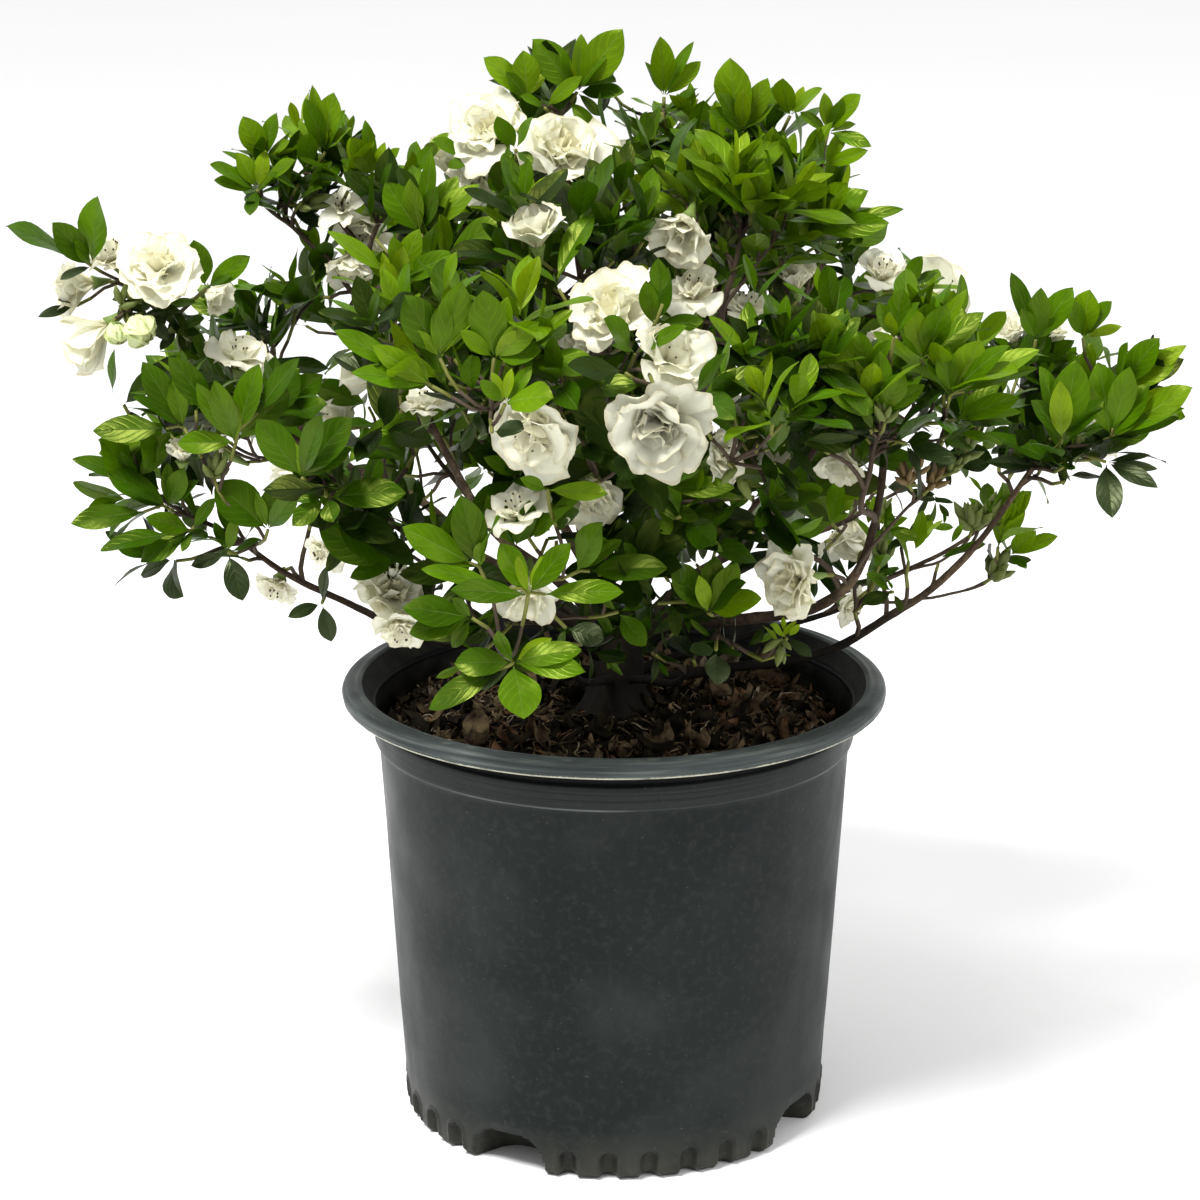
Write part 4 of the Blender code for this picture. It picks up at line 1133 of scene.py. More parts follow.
            (185, 468, 0.42, DEEP), (168, 462, 0.30, DEEP), (200, 480, 0.36, DEEP)]),
        (192, 530, -16, [(100, 551, 0.34, DEEP), (140, 563, 0.50, DEEP), (145, 518, 0.36, MID),
            (215, 498, 0.34, DEEP), (182, 552, 0.34, DEEP)]),
        (228, 553, -10, [(191, 566, 0.36, OLD), (243, 601, 0.50, OLD), (236, 516, 0.28, MID),
            (214, 522, 0.34, DEEP), (262, 540, 0.34, DEEP)]),
        (268, 530, -22, [(215, 482, 0.60, DEEP), (272, 486, 0.46, DEEP), (298, 492, 0.34, DEEP),
            (285, 506, 0.34, BRIGHT), (256, 492, 0.25, MID)]),
    ],
    "left_front": [
        (302, 478, -18, [(352, 417, 0.46, DEEP), (257, 419, 0.46, DEEP), (292, 440, 0.50, BRIGHT),
            (322, 414, 0.32, DEEP), (352, 448, 0.32, DEEP)]),
        (326, 497, -14, [(406, 493, 0.40, DEEP), (334, 522, 0.70, DEEP), (292, 526, 0.50, DEEP),
            (296, 502, 0.45, DEEP)]),
        (398, 560, 10, [(318, 528, 0.50, DEEP), (350, 578, 0.40, DEEP), (368, 516, 0.40, SHADE)]),
        (332, 518, 0, [(415, 566, 0.42, SHADE), (396, 540, 0.45, SHADE), (392, 560, 0.50, DEEP)]),
        (322, 603, 76, [(327, 566, 0.32, OLD), (288, 617, 0.36, OLD), (331, 642, 0.46, OLD)]),
    ],
    "centre_left": [
        (440, 358, -18, [(404, 295, 0.50, DEEP), (443, 300, 0.34, MID), (462, 282, 0.40, MID),
            (418, 330, 0.30, BRIGHT), (470, 325, 0.30, YOUNG)]),
        (494, 358, -24, [(483, 290, 0.50, MID), (539, 321, 0.36, BRIGHT), (541, 350, 0.50, MID),
            (508, 296, 0.34, BRIGHT), (460, 330, 0.34, BRIGHT), (516, 330, 0.30, YOUNG)]),
        (505, 404, -36, [(480, 380, 0.40, MID), (554, 398, 0.62, BRIGHT), (532, 366, 0.34, MID),
            (512, 368, 0.30, YOUNG), (492, 372, 0.34, YOUNG)]),
        (432, 386, -18, [(334, 330, 0.28, MID), (350, 373, 0.30, MID), (372, 345, 0.32, BRIGHT),
            (402, 345, 0.30, BRIGHT), (385, 382, 0.30, MID)]),
        (492, 432, -38, [(524, 428, 0.75, OLD), (478, 440, 0.60, OLD)]),
    ],
    "centre_top": [
        (635, 354, -56, [(604, 318, 0.55, MID), (687, 326, 0.26, MID), (612, 345, 0.40, MID)]),
        (654, 326, -46, [(668, 267, 0.48, DEEP), (704, 321, 0.36, DEEP), (646, 280, 0.36, MID)]),
    ],
    "front_low": [
        (528, 595, -42, [(624, 592, 0.32, MID), (570, 543, 0.38, MID), (500, 543, 0.48, MID),
            (421, 569, 0.27, MID), (543, 556, 0.26, YOUNG), (518, 556, 0.26, YOUNG),
            (450, 590, 0.30, DEEP)]),
        (577, 572, -22, [(667, 568, 0.42, DEEP), (622, 540, 0.38, MID), (603, 522, 0.42, MID),
            (596, 545, 0.30, YOUNG)]),
        (480, 568, -26, [(402, 527, 0.40, MID), (461, 494, 0.42, DEEP), (480, 542, 0.36, BRIGHT),
            (430, 560, 0.30, MID), (500, 516, 0.36, MID)]),
        (515, 548, -10, [(549, 487, 0.50, MID), (487, 494, 0.42, MID), (530, 500, 0.34, DEEP),
            (505, 505, 0.34, DEEP)]),
        (472, 618, -26, [(402, 608, 0.46, DEEP), (409, 634, 0.42, DEEP), (452, 648, 0.42, DEEP),
            (452, 598, 0.36, MID)]),
        (513, 663, -38, [(429, 710, 0.36, DEEP), (524, 719, 0.72, MID), (586, 672, 0.36, MID),
            (454, 664, 0.56, DEEP), (476, 690, 0.46, OLD), (552, 638, 0.36, YOUNG), (498, 630, 0.45, MID),
            (582, 650, 0.40, MID)]),
        (566, 628, -16, [(604, 640, 0.70, OLD), (560, 650, 0.45, DEEP)]),
        (618, 612, 4, [(646, 646, 0.52, DEEP), (598, 596, 0.32, DEEP), (644, 606, 0.32, DEEP)]),
    ],
    "front_right_low": [
        (708, 613, -12, [(671, 563, 0.46, DEEP), (698, 575, 0.30, YOUNG), (716, 556, 0.46, DEEP),
            (738, 562, 0.40, MID), (762, 598, 0.50, BRIGHT), (746, 582, 0.44, DEEP),
            (684, 592, 0.34, MID)]),
        (716, 650, -12, [(717, 685, 0.72, OLD), (690, 650, 0.34, SHADE), (742, 656, 0.34, SHADE)]),
        (787, 638, -4, [(812, 657, 0.32, OLD), (770, 625, 0.42, YOUNG), (800, 624, 0.36, YOUNG)]),
    ],
    "right_centre_low": [
        (665, 488, -22, [(735, 488, 0.32, MID), (640, 470, 0.40, MID), (700, 470, 0.34, MID)]),
        (650, 505, -12, [(628, 560, 0.40, MID), (670, 535, 0.60, MID), (700, 520, 0.36, DEEP)]),
    ],
    "centre_low": [
        (548, 490, -30, [(608, 494, 0.34, BRIGHT), (520, 478, 0.36, MID)]),
    ],
    "right_low": [
        (832, 524, -30, [(778, 484, 0.42, DEEP), (784, 534, 0.46, DEEP), (840, 480, 0.45, MID),
            (806, 502, 0.40, SHADE)]),
        (893, 592, -34, [(866, 574, 0.42, MID), (862, 604, 0.40, SHADE), (902, 612, 0.40, SHADE),
            (880, 573, 0.35, MID)]),
        (884, 528, -16, [(874, 496, 0.60, BRIGHT), (892, 503, 0.40, MID), (908, 518, 0.34, BRIGHT),
            (866, 542, 0.40, DEEP), (920, 540, 0.36, MID)]),
    ],
    "right_buds": [
        (1000, 524, -14, [(1002, 482, 0.48, MID), (1032, 491, 0.46, BRIGHT), (1016, 502, 0.40, BRIGHT),
            (985, 500, 0.30, MID)]),
        (1010, 555, -6, [(1036, 530, 0.42, BRIGHT), (1058, 536, 0.34, BRIGHT), (1027, 568, 0.36, DEEP),
            (1000, 541, 0.40, MID)]),
    ],
}

# Flowers by mass: pixel across, pixel down, degrees in view, how squarely it faces the viewer
# (1 is full face), radius in mm, kind, and depth behind the mass's middle in mm
FLOWERS = {
    "far_left": [
        (160, 266, 85, 0.85, 22, "full", -26), (114, 252, 110, 0.6, 18, "open", -2),
        (78, 285, 190, 0.35, 16, "side", 4), (90, 336, 216, 0.16, 22, "side", -16),
        (139, 330, 320, 0.6, 8, "bud", -34), (117, 332, 300, 0.3, 6, "bud", -26),
        (214, 296, 330, 0.3, 11, "side", 10), (240, 352, 80, 0.55, 19, "open", 2),
    ],
    "upper_left": [
        (342, 206, 90, 0.9, 16, "star", -12), (362, 232, 255, 0.4, 17, "open", 2),
        (350, 264, 262, 0.3, 14, "side", -8),
    ],
    "top_left": [
        (486, 128, 120, 0.75, 23, "full", -20), (564, 147, 65, 0.80, 26, "full", -34),
        (472, 180, 215, 0.5, 17, "open", -10),
    ],
    "centre_top": [
        (535, 232, 100, 0.5, 16, "side", -6), (612, 308, 110, 0.75, 26, "full", -28),
        (672, 354, 50, 0.75, 23, "open", -58), (582, 345, 200, 0.4, 12, "side", 0),
    ],
    "top_right": [
        (684, 230, 250, 0.6, 18, "side", -58), (694, 288, 90, 0.6, 17, "open", -56),
        (744, 304, 80, 0.5, 15, "open", -6), (797, 278, 95, 0.4, 12, "side", 10),
    ],
    "right_shoulder": [(884, 270, 80, 0.5, 16, "open", -4)],
    "far_right": [(1012, 332, 110, 0.4, 12, "side", 20), (1050, 334, 60, 0.4, 11, "side", 20)],
    "right_front": [(885, 335, 250, 0.4, 11, "side", 40), (842, 462, 260, 0.35, 13, "side", 24)],
    "centre": [(657, 428, 268, 0.78, 27, "dim", -24)],
    "centre_left": [
        (531, 435, 235, 0.70, 26, "open", -12), (182, 452, 90, 0.4, 10, "side", 90),
        (425, 402, 90, 0.4, 13, "open", 56),
    ],
    "centre_low": [(516, 508, 110, 0.6, 17, "open", -12), (592, 492, 290, 0.5, 17, "side", 0)],
    "centre_right": [(724, 457, 20, 0.6, 16, "open", 14)],
    "front_low": [
        (527, 592, 265, 0.45, 17, "side", -12), (392, 590, 75, 0.70, 20, "full", 34),
        (400, 630, 275, 0.40, 16, "open", 24),
    ],
    "left_low": [(276, 588, 250, 0.5, 12, "open", 30)],
    "left_front": [(322, 552, 220, 0.4, 12, "open", 34), (290, 470, 260, 0.5, 9, "side", 44)],
    "right_low": [
        (791, 581, 190, 0.62, 22, "full", -102), (850, 534, 260, 0.40, 17, "side", 16),
        (852, 606, 330, 0.5, 12, "open", 10),
    ],
}

# Twigs that show bare: the mass whose depth they keep, mm behind its middle, radius in mm at the
# foot, and where they are seen from foot to tip
LED_TWIGS = [
    ("upper_left", -6, 1.7, [(352, 290), (326, 258), (292, 228), (262, 204)]),
    ("top_right", -34, 2.2, [(718, 372), (720, 330), (728, 285), (744, 236)]),
    ("top_right", -38, 1.5, [(722, 318), (712, 282), (698, 246)]),
    ("top_right", -34, 1.4, [(730, 300), (756, 262), (784, 226)]),
    ("right_front", -20, 1.9, [(862, 500), (872, 466), (878, 428)]),
    ("right_buds", -8, 1.2, [(846, 604), (896, 602), (950, 594), (990, 580)]),
    ("right_buds", -14, 1.2, [(848, 590), (896, 576), (940, 560), (972, 544)]),
    ("right_front", 2, 1.2, [(866, 556), (884, 532), (908, 506), (926, 492)]),
]

# Bud clusters: pixel across, pixel down, degrees in view, count, scale length in mm, material slot,
# mass, and mm behind the mass's middle
BUDS = [
    (214, 478, 80, 8, 11, 0, "left_middle", -20), (385, 372, 60, 8, 10, 0, "left_shoulder", -10),
    (400, 395, 120, 5, 8, 0, "left_shoulder", -8), (972, 530, 95, 10, 14, 0, "right_buds", -20),
    (982, 522, 60, 7, 12, 0, "right_buds", -20), (992, 578, 60, 9, 14, 0, "right_buds", -10),
    (908, 484, 110, 8, 8, 3, "right_front", -6), (930, 488, 60, 8, 8, 3, "right_front", -2),
    (946, 474, 40, 7, 7, 0, "right_front", -2), (918, 474, 90, 6, 7, 3, "right_front", -8),
    (885, 422, 92, 7, 10, 0, "right_front", -46), (300, 205, 10, 4, 12, 0, "upper_left", -10),
    (135, 303, 90, 5, 11, 0, "far_left", -24), (120, 306, 70, 4, 11, 0, "far_left", -28),
    (880, 562, 90, 5, 10, 0, "right_low", -34), (782, 640, 270, 5, 10, 0, "front_right_low", -8),
    (736, 470, 280, 2, 12, 0, "centre_right", -16), (180, 325, 300, 6, 12, 0, "far_left", 8),
    (725, 245, 90, 6, 9, 0, "top_right", -30), (1070, 460, 60, 5, 10, 0, "far_right", -10),
    (960, 460, 60, 6, 11, 0, "right_front", 6), (880, 515, 60, 3, 8, 0, "right_low", -20),
]

# Patches of open sky inside the crown: pixel across, pixel down and the two half-widths
SKY = [
    (258, 234, 34, 26), (232, 205, 12, 8), (286, 553, 30, 16), (306, 348, 29, 13), (347, 379, 15, 11),
    (933, 578, 36, 22), (960, 610, 60, 40), (248, 459, 15, 16), (439, 172, 11, 20), (345, 586, 16, 12),
    (1014, 478, 18, 10), (837, 617, 20, 11), (574, 273, 16, 18), (591, 228, 5, 5), (345, 303, 12, 14),
    (421, 457, 13, 12), (941, 546, 14, 9), (371, 408, 13, 9), (299, 430, 13, 9), (372, 468, 14, 7),
    (878, 623, 14, 8), (774, 620, 9, 8), (699, 569, 7, 9), (195, 497, 5, 6), (901, 477, 7, 5),
    (140, 444, 5, 4), (985, 285, 20, 34), (955, 240, 30, 24), (1000, 640, 90, 50), (1008, 410, 8, 7),
    (120, 385, 12, 8), (50, 400, 60, 26), (440, 492, 8, 7), (745, 470, 8, 18), (641, 66, 10, 26),
    (638, 95, 10, 9), (712, 78, 8, 20), (858, 166, 24, 8), (748, 546, 13, 12), (884, 190, 22, 12),
]

# How far the crown reaches in view from its middle: degrees round from level at the right over
# the top, and pixels
CROWN_MIDDLE = (600.0, 430.0)
CROWN_REACH = [
    (-16, 440), (-8, 548), (5, 598), (9, 590), (13, 510), (24, 384), (32, 345), (42, 370), (52, 422),
    (66, 395), (104, 390), (108, 380), (112, 343), (120, 338), (124, 345), (127, 370), (129, 440),
    (140, 478), (152, 449), (157, 600), (164, 618), (172, 530), (180, 509), (188, 536), (196, 480),
]
REACH_TURNS, REACH_LIMITS = (np.array(column, dtype=float) for column in zip(*CROWN_REACH))

FACING_SPREAD = 0.0  # how unevenly sprays turn away from where they point


def facing(angle_deg, squareness):
    """A direction seen at an angle in view and turned towards the viewer by a share."""
    flat = swung(RIGHTWARDS, UPWARDS, math.radians(angle_deg))
    way = flat * math.sqrt(max(1.0 - squareness**2, 0.0)) - SIGHT * squareness
    return unit(way + rng.normal(0.0, FACING_SPREAD, 3))


def mass_depth(name):
    return mass_centre("foliage_" + name)[1]


SPRIG_LEAF_MAX = 0.040
SPRIG_LEAF_LONG = 0.036
SPRIG_LEAF_WIDER = 1.06


def grow_sprig(foot, leaves):
    """Leaves set round one twig's tip, each drawn out to where its own tip shows."""
    tips = [seen_at(px, py, foot[1] + rng.normal(-0.007, 0.006)) for px, py, _, _ in leaves]
    axis = unit(sum(unit(tip - foot) for tip in tips) + 0.4 * UP)
    grow_twig(foot, axis)
    for tip, (_, _, slender, tint) in zip(tips, leaves):
        heading = unit(tip - foot)
        start = foot + heading * 0.0015
        if np.linalg.norm(tip - start) > SPRIG_LEAF_MAX:
            start = tip - heading * SPRIG_LEAF_LONG
            path = smooth_path(foot, axis, start, heading, 4)
            tube(twigs, path, np.linspace(TWIG_RADIUS, 0.0007, len(path)), slot=1)
        length = np.linalg.norm(tip - start)
        towards = -SIGHT + 0.55 * UP + rng.normal(0.0, 0.28, 3)
        face = unit(towards - heading * (towards @ heading))
        bend = rng.uniform(0.15, 0.55)
        width = length * slender * SPRIG_LEAF_WIDER
        fold = rng.uniform(0.10, 0.30)
        grow_leaf(start, heading, -face, -bend / 2, bend, length, width, tint, fold, free=True)


def place_of(mass, px, py, back):
    """The point seen at a pixel, so many mm behind the middle of a mass."""
    return seen_at(px, py, mass_depth(mass) + back / 1000)


def list_blooms():
    """The blossoms that must show: where, how far round them is kept clear, and their size."""
    blooms = []
    for mass, rows in FLOWERS.items():
        for px, py, _, _, radius, kind, back in rows:
            centre = place_of(mass, px, py, back)
            scale = FOCAL_PX / ((centre - EYE) @ SIGHT)
            reach = 0.0 if mass == "front_low" and kind == "side" else 0.82 * scale * radius / 1000
            blooms.append((px, py, reach, centre, radius / 1000))
    return blooms


def grow_spray(place, angle, count, length, tint):
    axis = facing(angle, rng.uniform(0.15, 0.45))
    grow_twig(place - axis * 0.010, axis)
    grow_whorl(place, axis, count, length / 1000, tint)
    if count > 6 and tint < SHADE and rng.random() < 0.4:
        grow_old_leaves(place, axis, 2, length / 1000 * 0.6)


def grow_flower(place, angle, squareness, radius, kind):
    way = facing(angle, squareness)
    grow_twig(place - way * (radius / 1000) * 0.9, way, thickness=STALK_RADIUS)
    grow_blossom(place, way, radius / 1000, kind)


def grow_bud(place, angle, count, length, slot):
    axis = facing(angle, 0.3)
    grow_twig(place, axis)
    grow_scales(place, axis, count, length / 1000, slot)


def from_fork(job):
    """How far the place at the head of a job is from the fork of the stem."""
    return np.linalg.norm(job[0] - FORK)


def grow_front():
    """The sprays, flowers and buds that show, nearest the limbs first, each on its own twig."""
    for mass, back, radius, route in LED_TWIGS:
        grow_led_twig([place_of(mass, px, py, back) for px, py in route], radius / 1000)
    jobs = []
    for mass, rows in SPRIGS.items():
        jobs += [(place_of(mass, px, py, back), grow_sprig, (leaves,)) for px, py, back, leaves in rows]
    for grow, table in ((grow_spray, SPRAYS), (grow_flower, FLOWERS)):
        for mass, rows in table.items():
            jobs += [(place_of(mass, px, py, back), grow, details) for px, py, *details, back in rows]
    jobs += [(place_of(mass, px, py, back), grow_bud, details) for px, py, *details, mass, back in BUDS]
    for place, grow, details in sorted(jobs, key=from_fork):
        grow(place, *details)


# ---------------------------------------------------------------- the rest of the crown
# How many more sprays each mass takes: the ones at the back and inside grow by rule alone
FILL = {
    "back_top": 24, "back_crest": 24, "back_right": 24, "back_left": 18, "back_far_right": 14,
    "back_far_left": 14, "back_middle": 26, "back_low_right": 20, "back_low_left": 16, "back_low": 16,
    "inner": 8, "upper_left": 4, "left_shoulder": 4, "top_left": 4, "top_middle": 4, "top_right": 6,
    "right_shoulder": 4, "right_front": 5, "far_right": 5, "left_middle": 3, "left_low": 3,
    "left_inner": 3, "left_front": 3, "centre_left": 5, "centre_top": 5, "centre": 6, "centre_right": 4,
    "front_low": 3, "centre_low": 4, "right_centre_low": 4,
}
BACK_FLOWERS = 22
MOST_TRIES = 400
CROWN_HEART = np.array((0.0, 0.02, 0.33))
CROWN_FOOT = 0.28
SPRAY_SPACING = 0.017
SHELL = (0.006, 0.026)  # how deep under a back mass's surface its sprays stand
MOST_IN_FRONT = 0.004  # how far before a front mass's middle its own may stand


def surface_tree(name):
    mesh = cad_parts[name].data
    corners = [vertex.co.copy() for vertex in mesh.vertices]
    return bvhtree.BVHTree.FromPolygons(corners, [tuple(face.vertices) for face in mesh.polygons])


def inside(tree, point):
    """True where a point lies inside a closed surface."""
    spot, normal, _, _ = tree.find_nearest(Vector(point))
    return spot is not None and (Vector(point) - spot).dot(normal) < 0.0


def grow_rest():
    """Seeded sprays in the masses: at the back on the outside, at the front behind what shows."""
    places = []
    for mass, number in FILL.items():
        name = "foliage_" + mass
        tree = surface_tree(name)
        low, high = (np.array(corner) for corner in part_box(name))
        centre = (low + high) / 2
        at_back = mass.startswith("back") or mass == "inner"
        made = tries = 0
        while made < number and tries < MOST_TRIES:
            tries += 1
            place = rng.uniform(low, high)
            if not inside(tree, place):
                continue
            if not at_back and place[1] < centre[1] - MOST_IN_FRONT:
                continue
            depth = tree.find_nearest(Vector(place))[3]
            if at_back and not SHELL[0] < depth < SHELL[1]:
                continue
            if in_the_way(place, place + UP * 0.016):
                continue
            if any(np.linalg.norm(place - other) < SPRAY_SPACING for other, _, _ in places):
                continue
            axis = unit(unit(place - CROWN_HEART) + 0.55 * UP + rng.normal(0.0, 0.25, 3))
            places.append((place, axis, mass))
            made += 1
    places.sort(key=from_fork)
    blooms = set(rng.choice(len(places), BACK_FLOWERS, replace=False).tolist())
    for number, (place, axis, mass) in enumerate(places):
        at_back = mass.startswith("back")
        high = (place[2] - CROWN_FOOT) / (CAD_BOX[1][2] - CROWN_FOOT)
        grow_twig(place - axis * 0.010, axis)
        if number in blooms and at_back and axis @ FRONT < 0.3:
            grow_blossom(place + axis * 0.012, axis, rng.uniform(0.022, 0.028), "full", fine=False)
            continue
        # painted light and shade: higher sprays take lighter tints and lower ones darker, and those behind
        # the front are darkest, down to shade
        if at_back:
            tint = int(np.clip(round(DEEP - 2.2 * high + rng.normal(0.0, 0.6)), BRIGHT, DEEP))
        else:
            tint = int(np.clip(round(SHADE - 1.3 * high + rng.normal(0.0, 0.5)), MID, SHADE))
        count = int(rng.integers(7, 10))
        grow_whorl(place, axis, count, rng.uniform(0.033, 0.041), tint)
        if rng.random() < 0.35:
            grow_old_leaves(place, axis, 2, 0.020)


# ---------------------------------------------------------------- pot
POT_HEIGHT = 0.2326
BASE_RADIUS = 0.109
WALL_TOP_RADIUS = 0.1215
COLLAR_FOOT = 0.2015
POT_SIDES = 600
FOOT_TOP = 0.022
DRAIN_ANGLES = [-30, 60, 150, 240]
DRAIN_HALF_WIDTH = 0.0208
DRAIN_HEIGHT = 0.0193
DRAIN_DEPTH = 0.024
DRAIN_SQUARENESS = 2.9  # 2 is an ellipse
DENT_SPACING = 10.95  # degrees between the small arched dents of the foot
DENTS_PER_QUARTER = 6
DENT_HALF_WIDTH = 0.0048
DENT_HEIGHT = 0.0148
DENT_DEPTH = 0.0046
DENT_LIP = 0.0009
# The outline above the wall: radius and height, from the collar up and over the rolled rim
POT_COLLAR_AND_RIM = [
    (0.1217, 0.2010), (0.1221, 0.2017), (0.1229, 0.2023), (0.1235, 0.2029), (0.1238, 0.2038),
    (0.1238, 0.2070), (0.1240, 0.2110), (0.1241, 0.2142), (0.1238, 0.2152), (0.1230, 0.2159),
    (0.1226, 0.2172), (0.1226, 0.2205), (0.1230, 0.2226), (0.1248, 0.2236), (0.1300, 0.2239),
    (0.1345, 0.2240), (0.1380, 0.2241), (0.1391, 0.2244), (0.1396, 0.2250), (0.1397, 0.2257),
    (0.1399, 0.2266), (0.1400, 0.2278), (0.1398, 0.2292), (0.1391, 0.2305), (0.1379, 0.2315),
    (0.1362, 0.2320), (0.1346, 0.2321), (0.1334, 0.2321), (0.1324, 0.2325), (0.1314, 0.2326),
    (0.1304, 0.2324), (0.1297, 0.2317),
]
POT_INSIDE = [
    (0.1292, 0.2306), (0.1284, 0.2288), (0.1264, 0.2260), (0.1240, 0.2232), (0.1226, 0.2200),
    (0.1220, 0.2120), (0.1206, 0.2000), (0.1195, 0.1930),
]


def wall_radius(height):
    return BASE_RADIUS + (WALL_TOP_RADIUS - BASE_RADIUS) * height / COLLAR_FOOT


def arc_to(angle, place):
    """How far along the foot an angle lies from a place, both in degrees."""
    return math.radians((angle - place + 180.0) % 360.0 - 180.0) * BASE_RADIUS


def foot_recess(angle, height):
    """How far the wall's foot is dented inwards, at an angle in degrees and a height."""
    depth = 0.0
    for drain in DRAIN_ANGLES:
        side = abs(arc_to(angle, drain))
        if side < DRAIN_HALF_WIDTH and height < DRAIN_HEIGHT:
            beside, above = side / DRAIN_HALF_WIDTH, height / DRAIN_HEIGHT
            fill = 1.0 - beside**DRAIN_SQUARENESS - above**DRAIN_SQUARENESS
            depth = max(depth, DRAIN_DEPTH * max(fill, 0.0) ** (1 / DRAIN_SQUARENESS))
        for number in range(DENTS_PER_QUARTER):
            centre = drain + 45.0 + (number - (DENTS_PER_QUARTER - 1) / 2) * DENT_SPACING
            side = arc_to(angle, centre) / DENT_HALF_WIDTH
            climb = max(height - DENT_HEIGHT + DENT_HALF_WIDTH, 0.0) / DENT_HALF_WIDTH
            away = math.hypot(side, climb)
            if away < 1.0:
                depth = max(depth, DENT_DEPTH * (1.0 - away**3))
            elif away < 1.4 and depth <= 0.0:
                depth = min(depth, -DENT_LIP * math.sin((away - 1.0) / 0.4 * math.pi))
    return depth


def grow_pot():
    """The pot turned as one sheet with thickness, with its rolled rim, collar and dented foot."""
    outside = [(0.1025, 0.0), (0.1048, 0.0002), (0.1066, 0.0010), (0.1079, 0.0024)]
    foot_rows = [0.0036 + 0.0010 * step for step in range(18)]
    outside += [(wall_radius(z) - 0.0004 * max(1.0 - z / 0.008, 0.0), z) for z in foot_rows]
    wall_rows = [0.026, 0.034, 0.045, 0.060, 0.08, 0.10, 0.12, 0.14, 0.16, 0.178, 0.192, 0.1985, 0.2002]
    outside += [(wall_radius(z), z) for z in wall_rows] + POT_COLLAR_AND_RIM
    rows = []
    for radius, height in outside + POT_INSIDE:
        ring = []
        for side in range(POT_SIDES):
            angle = 360.0 * side / POT_SIDES + 180.0
            turn = math.radians(angle)
            reach = radius
            if height < FOOT_TOP and radius > 0.1:
                reach -= foot_recess(angle, max(height - 0.001, 0.0))
            way = Vector((math.sin(turn), -math.cos(turn), 0.0))
            warp = 0.0006 * noise.noise(way * 1.6 + Vector((0, 0, height * 9.0)))
            warp += 0.00025 * noise.noise(way * 9.0 + Vector((0, 0, height * 40.0)))
            reach += warp * min(height / 0.05, 1.0)
            ring.append((way.x * reach, way.y * reach, height))
        rows.append(ring)
    under = [[(x * share, y * share, 0.0) for x, y, _ in rows[0]] for share in (0.0, 0.5, 0.8, 0.95)]
    points = np.array(under + rows)
    around = np.ones((len(points), 1)) * (np.arange(POT_SIDES) / POT_SIDES)
    uv = np.stack([around, points[..., 2] / POT_HEIGHT], axis=-1)
    pot = Patchwork()
    inner = len(under) + len(outside) - 1
    pot.grid(points[: inner + 1], closed=True, uv=uv[: inner + 1])
    pot.grid(points[inner:], closed=True, uv=uv[inner:], slot=1)
    obj = pot.build("nursery_pot", [pot_material(), pot_inside_material()], "pot_plastic")
    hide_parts("pot")


# ---------------------------------------------------------------- soil
SOIL_RADIUS = 0.1185
SOIL_TOP = 0.2155
SOIL_SIDES = 220
SOIL_RINGS = 70
SOIL_UNDERSIDE = ((0.1190, 0.200), (0.1060, 0.060), (0.0800, 0.026), (0.0, 0.026))  # radius and height
STEM_SOIL_RADIUS = 0.058  # near the stem the flakes are smaller, and most take the darkest tone as painted shade under the crown
FLAKES = 3000
FLAKE_ACROSS, FLAKE_ALONG = np.linspace(-1.0, 1.0, 4), np.linspace(-1.0, 1.0, 6)[:, None]
FLAKE_MOST, STEM_FLAKE_MOST, BIG_FLAKE = 0.0110, 0.0065, 0.0055
FIBRES = 520
FIBRE_STEP = 0.0028


def soil_height(x, y):
    radius = math.hypot(x, y)
    level = SOIL_TOP - 0.0085 * min(radius / SOIL_RADIUS, 1.0) ** 1.5
    spot = Vector((x, y, 0.0))
    lumps = 0.0040 * noise.noise(spot * 38.0) + 0.0030 * noise.noise(spot * 110.0)
    return level + lumps + 0.0014 * noise.noise(spot * 330.0)


def somewhere_on_soil(most):
    """A random place on the soil: its distance from the middle, and x and y."""
    radius = SOIL_RADIUS * math.sqrt(rng.uniform(0.02, most))
    turn = rng.uniform(0.0, math.tau)
    return radius, radius * math.cos(turn), radius * math.sin(turn)


def grow_soil_bed():
    """The lumpy body of the potting mix."""
    turns = np.arange(SOIL_SIDES) * math.tau / SOIL_SIDES
    rows = []
    for radius in np.linspace(0.0, SOIL_RADIUS, SOIL_RINGS):
        ring = [(radius * math.cos(turn), radius * math.sin(turn)) for turn in turns]
        rows.append([(x, y, soil_height(x, y)) for x, y in ring])
    for radius, height in SOIL_UNDERSIDE:
        rows.append([(radius * math.cos(turn), radius * math.sin(turn), height) for turn in turns])
    bed = Patchwork()
    bed.grid(np.array(rows), closed=True, flip=True)
    tones = [soil_material("soil_dark", (0.0016, 0.0011, 0.0006), (0.014, 0.010, 0.005))]
    obj = bed.build("soil_bed", tones, "soil")
    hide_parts("root_ball")


